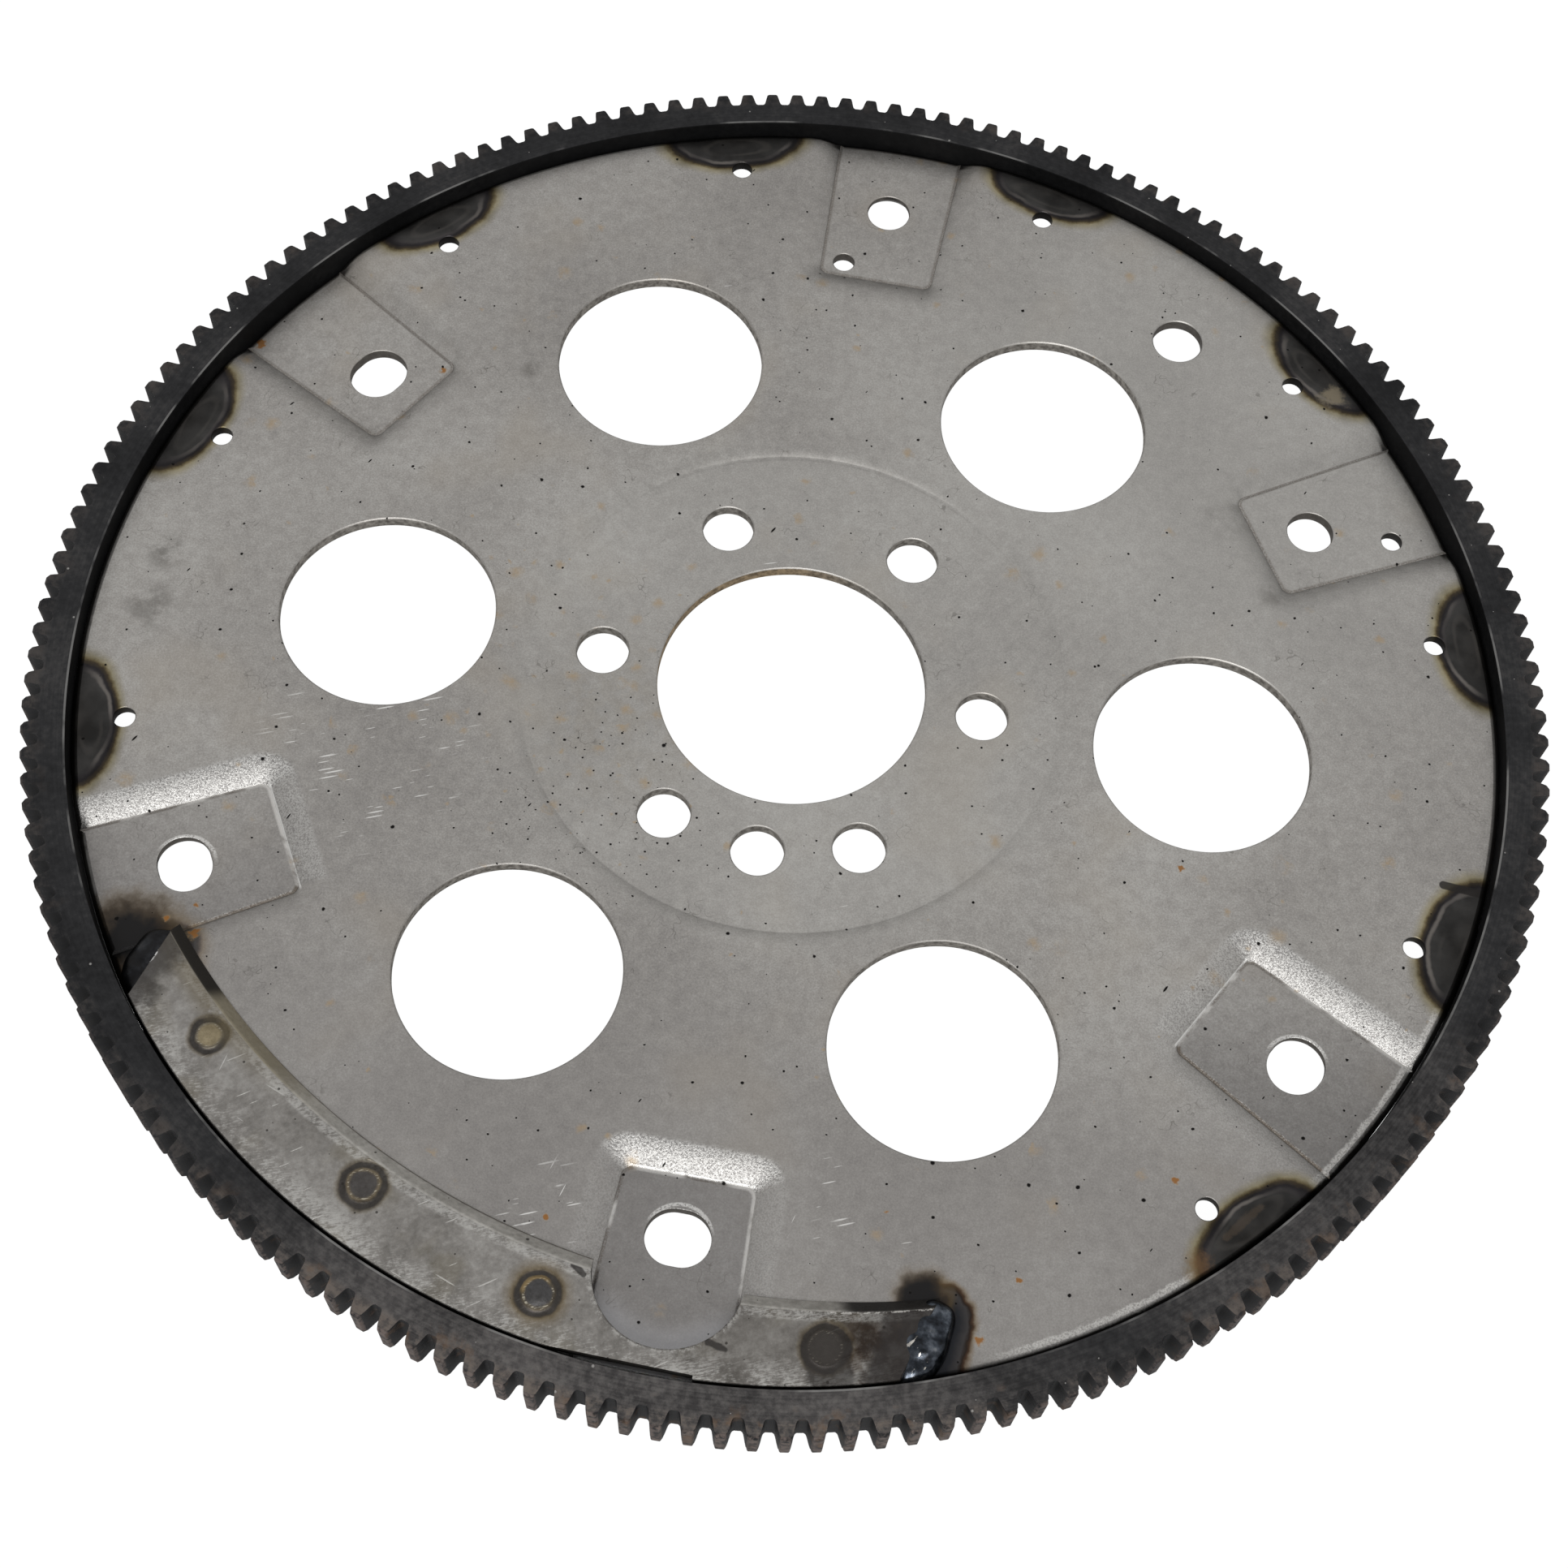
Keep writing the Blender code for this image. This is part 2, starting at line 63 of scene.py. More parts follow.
look = (LOOK_AT - CAMERA_AT).normalized()
level_x = look.cross(Vector((0, 0, 1))).normalized()
level_y = level_x.cross(look)
camera_x = math.cos(CAMERA_ROLL) * level_x + math.sin(CAMERA_ROLL) * level_y
camera_y = -math.sin(CAMERA_ROLL) * level_x + math.cos(CAMERA_ROLL) * level_y
camera_data = bpy.data.cameras.new("photo_camera")
camera_data.lens = LENS_MM
camera_data.sensor_width = 36
camera_data.clip_start = 0.01
camera_data.clip_end = 20
camera = bpy.data.objects.new("photo_camera", camera_data)
bpy.context.scene.collection.objects.link(camera)
axes = Matrix((camera_x, camera_y, -look)).transposed().to_4x4()
camera.matrix_world = Matrix.Translation(CAMERA_AT) @ axes
bpy.context.scene.camera = camera
print("camera height in mm:", round(CAMERA_AT.z / MM))

# %% [markdown]
# ## A small language for shaders
#
# Every finish here is made of masks: this far from the rim, that close to a weld. Written as node
# links that is long, so a socket is wrapped in a class that knows arithmetic, and one method adds
# any other node.


# %% Sockets that do arithmetic
class Signal:
    """A shader socket. Python arithmetic on it adds Math nodes."""

    def __init__(self, graph, socket):
        self.graph = graph
        self.socket = socket

    def maths(self, operation, *values):
        inputs = dict(enumerate(values))
        return self.graph.node("Math", {"operation": operation}, inputs)

    def __add__(self, other):
        return self.maths("ADD", self, other)

    def __sub__(self, other):
        return self.maths("SUBTRACT", self, other)

    def __rsub__(self, other):
        return self.maths("SUBTRACT", other, self)

    def __mul__(self, other):
        return self.maths("MULTIPLY", self, other)

    def __truediv__(self, other):
        return self.maths("DIVIDE", self, other)

    def __pow__(self, other):
        return self.maths("POWER", self, other)

    def lower(self, other):
        return self.maths("MINIMUM", self, other)

    def higher(self, other):
        return self.maths("MAXIMUM", self, other)

    def function(self, operation):
        return self.maths(operation, self)

    __radd__ = __add__
    __rmul__ = __mul__


class Graph:
    """The node tree of one material or world."""

    def __init__(self, tree):
        self.tree = tree

    def node(self, kind, settings=None, inputs=None, out=0):
        made = self.tree.nodes.new("ShaderNode" + kind)
        for key, value in (settings or {}).items():
            if key == "stops":
                fill_ramp(made.color_ramp, value)
            else:
                setattr(made, key, value)
        for key, value in (inputs or {}).items():
            if isinstance(value, Signal):
                self.tree.links.new(value.socket, made.inputs[key])
            else:
                made.inputs[key].default_value = value
        return Signal(self, made.outputs[out]) if len(made.outputs) else None

    def point(self):
        """Object coordinates in millimetres."""
        place = self.node("TexCoord", out="Object")
        inputs = {0: place, "Scale": 1 / MM}
        return self.node("VectorMath", {"operation": "SCALE"}, inputs)

    def split(self, vector):
        parts = self.node("SeparateXYZ", inputs={0: vector})
        outputs = parts.socket.node.outputs
        return [Signal(self, outputs[axis]) for axis in "XYZ"]

    def normal(self):
        """The surface normal as three signals."""
        return self.split(self.node("NewGeometry", out="Normal"))

    def smooth(self, value, low, high):
        """0 at low and 1 at high, eased between. High may be the smaller one."""
        settings = {"interpolation_type": "SMOOTHSTEP"}
        inputs = {"Value": value, "From Min": low, "From Max": high}
        return self.node("MapRange", settings, inputs)

    def stretched(self, where, degrees, ratio):
        """Coordinates in which a pattern comes out longer by this ratio, along this direction."""
        inputs = {"Vector": where, "Rotation": (0, 0, math.radians(degrees)), "Scale": (ratio, 1, 1)}
        return self.node("Mapping", {"vector_type": "TEXTURE"}, inputs)

    def noise(self, where, size, detail=2.0, rough=0.5):
        """Fractal noise with features of about this size in millimetres, around 0.5."""
        inputs = {"Vector": where, "Scale": 1 / size, "Detail": detail, "Roughness": rough}
        return self.node("TexNoise", inputs=inputs)

    def line_noise(self, value, size, detail=2.0):
        """Noise along one value, for turned lines."""
        settings = {"noise_dimensions": "1D"}
        inputs = {"W": value, "Scale": 1 / size, "Detail": detail}
        return self.node("TexNoise", settings, inputs)

    def dots(self, where, size, smallest, largest, share, soft=0.3):
        """Round specks in the plane: this share of the cells hold one, of mixed radius."""
        settings = {"voronoi_dimensions": "2D"}
        distance = self.node("TexVoronoi", settings, {"Vector": where, "Scale": 1 / size})
        pick, spread, _ = self.split(Signal(self, distance.socket.node.outputs["Color"]))
        reach = (smallest + (largest - smallest) * spread * spread) / size
        round_speck = self.smooth(distance, reach * (1 + soft), reach * (1 - soft))
        return round_speck * pick.maths("LESS_THAN", pick, share)

    def warped(self, where, size, amount):
        """Coordinates pushed about by up to this many millimetres, for ragged outlines."""
        push = self.noise(where, size, detail=3.0)
        colour = Signal(self, push.socket.node.outputs["Color"])
        settings = {"operation": "MULTIPLY_ADD"}
        inputs = {0: colour, 1: (2 * amount,) * 3, 2: where}
        return self.node("VectorMath", settings, inputs)

    def ramp(self, value, stops, ease="LINEAR"):
        made = self.node("ValToRGB", {"stops": stops}, {"Fac": value})
        made.socket.node.color_ramp.interpolation = ease
        return made

    def blend(self, share, first, second, kind="MIX"):
        """Colour mix: first where share is 0, second where it is 1."""
        settings = {"data_type": "RGBA", "blend_type": kind}
        inputs = {"Factor": share, 6: colour4(first), 7: colour4(second)}
        return self.node("Mix", settings, inputs, out=2)

    def lay(self, base, share, red, green, blue):
        """An 8-bit screen colour over the last colour, to this share."""
        return self.blend(share, base, srgb(red, green, blue))

    def bump(self, height, depth, strength=1.0, below=None):
        """Tilt the surface by a height from 0 to 1 that spans this depth in millimetres."""
        inputs = {"Height": height, "Distance": depth * MM, "Strength": strength}
        if below:
            inputs["Normal"] = below
        return self.node("Bump", inputs=inputs)


def colour4(value):
    return value if isinstance(value, Signal) else (*value, 1.0)


def srgb(red, green, blue):
    """Linear colour of an 8-bit screen colour."""
    out = []
    for channel in (red, green, blue):
        share = channel / 255
        out.append(share / 12.92 if share <= 0.04045 else ((share + 0.055) / 1.055) ** 2.4)
    return tuple(out)


def tones(*rows):
    """Ramp stops from rows of (place, red, green, blue) in 8-bit screen colours."""
    return tuple((place, srgb(*colour)) for place, *colour in rows)


def fill_ramp(ramp, stops):
    while len(ramp.elements) < len(stops):
        ramp.elements.new(0.5)
    for element, (place, value) in zip(ramp.elements, stops):
        element.position = place
        element.color = (*value, 1.0) if hasattr(value, "__len__") else (value, value, value, 1.0)


def new_steel(name, metallic, tint=1.0, level=0.5):
    """A material with a Principled shader, the graph to build on, and the point in millimetres.
    A tint and level below the usual ones keep walls dark that are seen at a slant."""
    material = bpy.data.materials.new(name)
    material.use_nodes = True
    shader = material.node_tree.nodes["Principled BSDF"]
    shader.inputs["Metallic"].default_value = metallic
    shader.inputs["Specular Tint"].default_value = (tint, tint, tint, 1)
    shader.inputs["Specular IOR Level"].default_value = level
    graph = Graph(material.node_tree)
    return material, shader, graph, graph.point()


def connect(graph, shader, **sockets):
    for name, signal in sockets.items():
        graph.tree.links.new(signal.socket, shader.inputs[name.replace("_", " ")])


print("shader tools ready")

# %% [markdown]
# ## Floor, backdrop and light
#
# The photograph is a cut-out on white. A pale floor that camera and mirror rays see as white gives
# that, and still takes a faint shadow. The light is one wide softbox overhead, leaning to the
# camera's side, which the slopes of the lower pads catch, in a pale room that is darker behind.

# %% Build the studio
scene = bpy.context.scene
scene.view_settings.view_transform = "Standard"

FLOOR_HALF = 3.0
floor_mesh = bmesh.new()
bmesh.ops.create_grid(floor_mesh, x_segments=1, y_segments=1, size=FLOOR_HALF)
bmesh.ops.translate(floor_mesh, verts=floor_mesh.verts, vec=(0, 0, -0.1 * MM))
floor_data = bpy.data.meshes.new("floor")
floor_mesh.to_mesh(floor_data)
floor_mesh.free()
floor = bpy.data.objects.new("floor", floor_data)
scene.collection.objects.link(floor)

SHADOW_SHARE = 0.06
floor_material = bpy.data.materials.new("white_floor")
floor_material.use_nodes = True
floor_tree = floor_material.node_tree
floor_tree.nodes.clear()
g = Graph(floor_tree)
sees = g.node("LightPath", out="Is Camera Ray")
mirror = Signal(g, sees.socket.node.outputs["Is Glossy Ray"])
glass = Signal(g, sees.socket.node.outputs["Is Transmission Ray"])
seen = sees.higher(mirror).higher(glass)
pale = g.node("BsdfDiffuse", inputs={"Color": (0.8, 0.8, 0.8, 1)})
white = g.node("Emission", inputs={"Color": (1, 1, 1, 1), "Strength": 1.05})
mixed = g.node("MixShader", inputs={0: seen * (1 - SHADOW_SHARE), 1: pale, 2: white})
g.node("OutputMaterial", inputs={"Surface": mixed})
floor_data.materials.append(floor_material)

world = bpy.data.worlds.new("pale_room")
scene.world = world
world.use_nodes = True
world.node_tree.nodes.clear()
g = Graph(world.node_tree)
direction = g.node("TexCoord", out="Generated")
north = g.split(direction)[1]
ROOM = ((0.0, 0.8), (0.35, 0.8), (0.44, 0.5), (0.53, 0.52), (0.62, 0.95), (0.82, 1.0), (0.97, 0.6))
room = g.ramp(north * 0.5 + 0.5, ROOM)
ray = g.node("LightPath", out="Is Camera Ray")
strength = room + ray * (1 - room)
background = g.node("Background", inputs={"Color": (1, 1, 1, 1), "Strength": strength})
g.node("OutputWorld", inputs={"Surface": background})


def softbox(name, at, aim, width, depth, watts):
    lamp = bpy.data.lights.new(name, "AREA")
    lamp.shape = "RECTANGLE"
    lamp.size = width
    lamp.size_y = depth
    lamp.energy = watts
    thing = bpy.data.objects.new(name, lamp)
    scene.collection.objects.link(thing)
    thing.location = at
    thing.rotation_euler = (Vector(aim) - Vector(at)).to_track_quat("-Z", "Y").to_euler()


softbox("key_softbox", (0.0, -0.92, 1.05), (0, 0, 0), 1.1, 0.5, 12.0)
print("studio: a room of", len(ROOM), "levels and", len(bpy.data.lights), "softbox")

# %% [markdown]
# ## Helpers for the meshes
#
# Most pieces are skins stretched over outlines, so one helper bridges a stack of closed outlines
# and caps both ends. Holes and recesses are then cut with exact Booleans, and the result is baked
# to a plain mesh.


# %% Outlines, lofts and cuts
def polar(radius, degrees, z=0.0):
    angle = math.radians(degrees)
    return Vector((radius * math.cos(angle), radius * math.sin(angle), z))


def outward(radius, degrees):
    """Carries a shape drawn at the origin to a radius and an angle, X pointing outwards."""
    return Matrix.Rotation(math.radians(degrees), 4, "Z") @ Matrix.Translation((radius, 0, 0))


def loop_edges(bm, points):
    verts = [bm.verts.new(point) for point in points]
    return [bm.edges.new((a, b)) for a, b in zip(verts, verts[1:] + verts[:1])]


def loft(bm, outlines):
    loops = [loop_edges(bm, outline) for outline in outlines]
    for low, high in zip(loops, loops[1:]):
        bmesh.ops.bridge_loops(bm, edges=low + high)
    for loop in (loops[0], loops[-1]):
        bmesh.ops.contextual_create(bm, geom=loop)


def raw_object(name, bm):
    bmesh.ops.recalc_face_normals(bm, faces=bm.faces)
    mesh = bpy.data.meshes.new(name)
    bm.to_mesh(mesh)
    bm.free()
    thing = bpy.data.objects.new(name, mesh)
    scene.collection.objects.link(thing)
    return thing


def cut(thing, tool_mesh, operation="DIFFERENCE"):
    """Boolean with a throwaway tool."""
    tool = raw_object("tool", tool_mesh)
    modifier = thing.modifiers.new("cut", "BOOLEAN")
    modifier.operation = operation
    modifier.solver = "EXACT"
    modifier.object = tool
    apply_modifiers(thing)
    bpy.data.objects.remove(tool, do_unlink=True)


def apply_modifiers(thing):
    graph = bpy.context.evaluated_depsgraph_get()
    baked = bpy.data.meshes.new_from_object(thing.evaluated_get(graph))
    thing.modifiers.clear()
    old = thing.data
    thing.data = baked
    bpy.data.meshes.remove(old)


def finish_piece(thing, material, nodes, sharp=28):
    """Smooth shading with crisp creases, then its place in the frame."""
    mesh = thing.data
    mesh.materials.clear()
    mesh.materials.append(material)
    mesh.shade_smooth()
    mesh.set_sharp_from_angle(angle=math.radians(sharp))
    weighted = thing.modifiers.new("even_shading", "WEIGHTED_NORMAL")
    weighted.keep_sharp = True
    weighted.weight = 100
    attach(thing, "root")
    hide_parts(*nodes)
    triangles = sum(len(face.vertices) - 2 for face in mesh.polygons)
    print(thing.name, "has", triangles, "triangles")


def spun(bm, profile, segments):
    """Closed ring turned from (radius, height) points."""
    edges = loop_edges(bm, [Vector((r, 0, z)) for r, z in profile])
    verts = list({vert for edge in edges for vert in edge.verts})
    bmesh.ops.spin(
        bm,
        geom=verts + edges,
        axis=(0, 0, 1),
        cent=(0, 0, 0),
        angle=2 * math.pi,
        steps=segments,
        use_merge=True,
    )
    bmesh.ops.remove_doubles(bm, verts=bm.verts, dist=1e-7)


# %% [markdown]
# ## The pressed disc
#
# The disc is one stamping. Its hub is set down by little more than a millimetre, and six pads are
# pressed towards the converter with soft slopes that run out into the flat. A blank is turned, the
# pads are added below and cut above with the same lofted form, so the sheet keeps its thickness,
# and then the rim and the holes are punched. Punching rolls the upper edge over, so every punch
# flares.

# %% The disc's sizes
PLATE_THICKNESS = 3.0 * MM
PLATE_RADIUS = 167.6 * MM
HUB_TOP = PLATE_TOP - 1.2 * MM
HUB_EDGE = 64.5 * MM
# The step up from the hub in mm, as (distance out, rise): a coined line, then a slope that runs out
HUB_STEP = (
    (-1.5, 0.0),
    (-0.95, -0.04),
    (-0.6, -0.15),
    (-0.25, -0.14),
    (0.0, 0.0),
    (0.45, 0.22),
    (1.0, 0.45),
    (1.8, 0.73),
    (2.7, 0.96),
    (3.7, 1.11),
    (4.7, 1.18),
    (5.7, 1.2),
)
PAD_DEPTH = 2.5 * MM
PAD_FLOOR = PLATE_TOP - PAD_DEPTH
PAD_INNER = 122.7 * MM
PAD_HALF_INNER = 14.8 * MM
PAD_HALF_RIM = 16.6 * MM
PAD_CORNER = 2.5 * MM
PAD_RUN = 8.0 * MM
REACH = 5.0 * MM
PAD_ANGLES = [30 + 60 * i for i in range(6)]
COINED_LINE = ((1.2, 0.0), (0.75, 0.1), (0.45, 0.24), (0.2, 0.24))


def circle(radius, z, segments, half_slot=0.0):
    points = []
    for i in range(segments):
        angle = 2 * math.pi * (i + 0.5) / segments
        x, y = radius * math.cos(angle), radius * math.sin(angle)
        points.append(Vector((x, y + math.copysign(half_slot, y), z)))
    return points


def punch(bm, radius, degrees, diameter, face_z, segments, roll, slot=0.0, breakout=0.1 * MM):
    """One hole's tool: wider below where the metal broke out, flared above where it rolled over."""
    place = outward(radius, degrees)
    sections = [(breakout, -REACH), (breakout, face_z - PLATE_THICKNESS)]
    sections += [(0.0, face_z - 0.4 * PLATE_THICKNESS), (0.0, face_z - roll)]
    for i in range(1, 4):
        turn = math.radians(22.5 * i)
        sections.append((roll * (1 - math.cos(turn)), face_z - roll * (1 - math.sin(turn))))
    sections.append((roll * 1.2 + REACH, face_z + REACH))
    outlines = []
    for grow, z in sections:
        shape = circle(diameter / 2 + grow, z, segments, slot / 2)
        outlines.append([place @ point for point in shape])
    loft(bm, outlines)


def pad_outline(offset, z, place):
    reach = PLATE_RADIUS + 2 * REACH + offset
    taper = (PAD_HALF_RIM - PAD_HALF_INNER) / (PLATE_RADIUS - PAD_INNER)
    half_inner = PAD_HALF_INNER + offset
    half_outer = half_inner + taper * (reach - PAD_INNER)
    inner = PAD_INNER - offset
    radius = max(PAD_CORNER + 0.8 * offset, 1.0 * MM)
    steps = 9
    points = [Vector((reach, -half_outer, z))]
    for side, start in ((-1, 270), (1, 180)):
        centre = Vector((inner + radius, side * (half_inner - radius), z))
        for i in range(steps + 1):
            angle = math.radians(start - 90 * i / steps)
            points.append(centre + radius * Vector((math.cos(angle), math.sin(angle), 0)))
    points.append(Vector((reach, half_outer, z)))
    return [place @ point for point in points]


def pad_form(bm, degrees, drop, ceiling, coined):
    """The pad's floor, a coined line round it, and a slope that runs out level."""
    place = Matrix.Rotation(math.radians(degrees), 4, "Z")
    floor_z = PAD_FLOOR - drop
    outlines = []
    if coined:
        for inset, depth in COINED_LINE:
            outlines.append(pad_outline(-inset * MM, floor_z - depth * MM, place))
    rings = 13
    for i in range(rings + 1):
        share = i / rings
        rise = 1 - (1 - share) ** 2
        outlines.append(pad_outline(share * PAD_RUN, floor_z + rise * PAD_DEPTH, place))
    outlines.append(pad_outline(PAD_RUN, ceiling, place))
    loft(bm, outlines)


# %% Turn the blank and press the pads
blank = bmesh.new()
top = [(16 * MM, HUB_TOP)]
for across, rise in HUB_STEP:
    top.append((HUB_EDGE + across * MM, HUB_TOP + rise * MM))
top.append((PLATE_RADIUS + 2.5 * MM, PLATE_TOP))
under = [(r, z - PLATE_THICKNESS) for r, z in reversed(top)]
spun(blank, top + under, 180)
disc = raw_object("disc_pressed", blank)

bosses = bmesh.new()
recesses = bmesh.new()
for degrees in PAD_ANGLES:
    pad_form(bosses, degrees, PLATE_THICKNESS, PLATE_TOP - 2 * MM, coined=False)
    pad_form(recesses, degrees, 0.0, PLATE_TOP + REACH, coined=True)
cut(disc, bosses, "UNION")
cut(disc, recesses)
print("disc pressed:", len(disc.data.polygons), "faces")

# %% [markdown]
# The rim follows the pads up and down. Its trimming tool is a ring whose section, with a rounded
# inner corner, is placed at the height that the sheet has at each angle.

# %% Trim the rim
RIM_ROUNDING = 2.0 * MM
RIM_STEPS = 480
TRIM_OUTER = PLATE_RADIUS + 30 * MM


def rim_height(degrees):
    """Height of the sheet's upper face at the rim."""
    nearest = min(PAD_ANGLES, key=lambda pad: abs((degrees - pad + 180) % 360 - 180))
    offset = math.radians(abs((degrees - nearest + 180) % 360 - 180))
    across = PLATE_RADIUS * math.sin(offset)
    share = min(max((across - PAD_HALF_RIM) / PAD_RUN, 0.0), 1.0)
    return PAD_FLOOR + (1 - (1 - share) ** 2) * PAD_DEPTH


trim = bmesh.new()
sections = []
for step in range(RIM_STEPS):
    degrees = 360 * step / RIM_STEPS
    height = rim_height(degrees)
    section = [polar(TRIM_OUTER, degrees, -REACH), polar(PLATE_RADIUS, degrees, -REACH)]
    for i in range(6):
        turn = math.radians(16.5 * i)
        inset = RIM_ROUNDING * (1 - math.cos(turn))
        drop = RIM_ROUNDING * (1 - math.sin(turn))
        section.append(polar(PLATE_RADIUS - inset, degrees, height - drop))
    section.append(polar(PLATE_RADIUS - 1.5 * RIM_ROUNDING, degrees, height + 0.2 * MM))
    section.append(polar(PLATE_RADIUS - 1.5 * RIM_ROUNDING, degrees, PLATE_TOP + REACH))
    section.append(polar(TRIM_OUTER, degrees, PLATE_TOP + REACH))
    sections.append(loop_edges(trim, section))
for one, other in zip(sections, sections[1:] + sections[:1]):
    bmesh.ops.bridge_loops(trim, edges=one + other)
cut(disc, trim)
print("rim trimmed:", len(disc.data.polygons), "faces")

# %% Punch the holes
CENTRE_BORE = 63.5 * MM
CRANK_CIRCLE = 45.6 * MM
ODD_CRANK_CIRCLE = 44.7 * MM
CRANK_HOLE = 12.3 * MM
LIGHTENING_CIRCLE = 97.8 * MM
LIGHTENING_HOLE = 51.2 * MM
TIMING_CIRCLE = 142.1 * MM
TIMING_HOLE = 12.5 * MM
WIDE_ROLL = 0.6 * MM
ROLL = 0.5 * MM
holes = bmesh.new()
punch(holes, 0, 0, CENTRE_BORE, HUB_TOP, 144, WIDE_ROLL)
for i in range(6):
    punch(holes, CRANK_CIRCLE, 60 * i, CRANK_HOLE, HUB_TOP, 56, ROLL)
punch(holes, ODD_CRANK_CIRCLE, 270, CRANK_HOLE, HUB_TOP, 56, ROLL)
for i in range(6):
    punch(holes, LIGHTENING_CIRCLE, 60 * i, LIGHTENING_HOLE, PLATE_TOP, 120, WIDE_ROLL)
punch(holes, TIMING_CIRCLE, 56, TIMING_HOLE, PLATE_TOP, 56, ROLL)
# Small holes: radius, angle and diameter in mm, and the face they are punched in
SMALL_HOLES = [(155.3, 15 + 30 * i, 5.05, PLATE_TOP) for i in range(12)]
SMALL_HOLES += [(154.9, 26.7, 5.0, PAD_FLOOR), (127.6, 94, 5.4, PAD_FLOOR)]
for radius, degrees, diameter, face_z in SMALL_HOLES:
    punch(holes, radius * MM, degrees, diameter * MM, face_z, 32, 0.35 * MM, breakout=0.3 * MM)
# Converter holes: angle, radius, diameter, slot length and breakout in mm
CONVERTER_HOLES = (
    (30, 136.5, 11.3, 0.0, 0.1),
    (90, 145.8, 10.9, 0.0, 1.1),
    (150, 136.1, 12.8, 1.8, 0.1),
    (209.9, 145.8, 12.1, 1.4, 0.5),
    (270, 136.6, 12.4, 1.9, 0.1),
    (330.1, 145.85, 12.5, 0.9, 0.5),
)
for degrees, radius, diameter, slot, breakout in CONVERTER_HOLES:
    size = diameter * MM
    punch(holes, radius * MM, degrees, size, PAD_FLOOR, 56, 0.3 * MM, slot * MM, breakout * MM)
cut(disc, holes)
print("holes punched:", len(disc.data.polygons), "faces")

# %% [markdown]
# ## The ring gear
#
# One tooth is a handful of points: root, fillet, flank and tip. The outline of all 168 is filled
# against the bore as a flat ring and raised. The blank was turned before the teeth were cut, so
# only the tips are chamfered at both ends: points beyond a limit radius are pulled in there.

# %% The ring gear
TOOTH_COUNT = 168
RING_BORE = 167.7 * MM
ROOT = 173.8 * MM
TIP = 178.0 * MM
RING_WIDTH = 12.4 * MM
TOOTH_PHASE = 1.16
TIP_CHAMFER = 0.75 * MM
NEAR_ENOUGH = 0.01 * MM


def tooth_side():
    """Half a tooth as (distance from the tooth's middle, radius), root first."""
    pitch_half = math.pi * ROOT / TOOTH_COUNT
    side = [(pitch_half * 0.86, ROOT + 0.03 * MM)]
    for i in range(4):
        turn = math.radians(8 + 22 * i)
        x = 1.95 * MM + 0.8 * MM * (1 - math.sin(turn))
        side.append((x, ROOT + 0.95 * MM * (1 - math.cos(turn))))
    side += [(1.82 * MM, 175.1 * MM), (1.62 * MM, 176.0 * MM), (1.34 * MM, 177.0 * MM)]
    side += [(1.06 * MM, 177.8 * MM), (0.86 * MM, TIP)]
    return side


outline = []
for tooth in range(TOOTH_COUNT):
    middle = TOOTH_PHASE + 360 * tooth / TOOTH_COUNT
    half = [(math.degrees(x / r), r) for x, r in tooth_side()]
    shape = [(-a, r) for a, r in half] + [(a, r) for a, r in reversed(half)]
    outline += [polar(r, middle + a) for a, r in shape]
ring_mesh = bmesh.new()
BORE_STEPS = 336
rim_edges = loop_edges(ring_mesh, outline)
bore_edges = loop_edges(ring_mesh, [polar(RING_BORE, 360 * i / BORE_STEPS) for i in range(BORE_STEPS)])
filled = bmesh.ops.triangle_fill(ring_mesh, edges=rim_edges + bore_edges, use_beauty=True)["geom"]
level_faces = [item for item in filled if isinstance(item, bmesh.types.BMFace)]
ring_layers = (TIP_CHAMFER, RING_WIDTH - TIP_CHAMFER, RING_WIDTH)
for height, below in zip(ring_layers, (0.0, *ring_layers)):
    raised = bmesh.ops.extrude_face_region(ring_mesh, geom=level_faces)["geom"]
    fresh = [item for item in raised if isinstance(item, bmesh.types.BMVert)]
    bmesh.ops.translate(ring_mesh, verts=fresh, vec=(0, 0, height - below))
    if below:
        bmesh.ops.delete(ring_mesh, geom=level_faces, context="FACES_ONLY")
    level_faces = [item for item in raised if isinstance(item, bmesh.types.BMFace)]
for vert in ring_mesh.verts:
    at_end = min(vert.co.z, RING_WIDTH - vert.co.z) < NEAR_ENOUGH
    radius = vert.co.xy.length
    if at_end and radius > TIP - TIP_CHAMFER:
        vert.co.xy *= (TIP - TIP_CHAMFER) / radius
bore_rims = []
for edge in ring_mesh.edges:
    at_bore = all(abs(v.co.xy.length - RING_BORE) < NEAR_ENOUGH for v in edge.verts)
    level = abs(edge.verts[0].co.z - edge.verts[1].co.z) < NEAR_ENOUGH
    at_end = min(edge.verts[0].co.z, RING_WIDTH - edge.verts[0].co.z) < NEAR_ENOUGH
    if at_bore and level and at_end:
        bore_rims.append(edge)
bmesh.ops.bevel(
    ring_mesh, geom=bore_rims, offset=0.35 * MM, segments=2, profile=0.5, affect="EDGES", material=-1
)
ring = raw_object("ring_toothed", ring_mesh)
print("ring gear:", TOOTH_COUNT, "teeth,", len(ring.data.polygons), "faces")

# %% [markdown]
# ## The balance weight
#
# A strip sheared from plate: its inner edge leans, and its top edges are rubbed round. It is lofted
# through six outlines, then notched over the pad below and relieved along its outer edge. Four
# projection welds left round dishes in it.

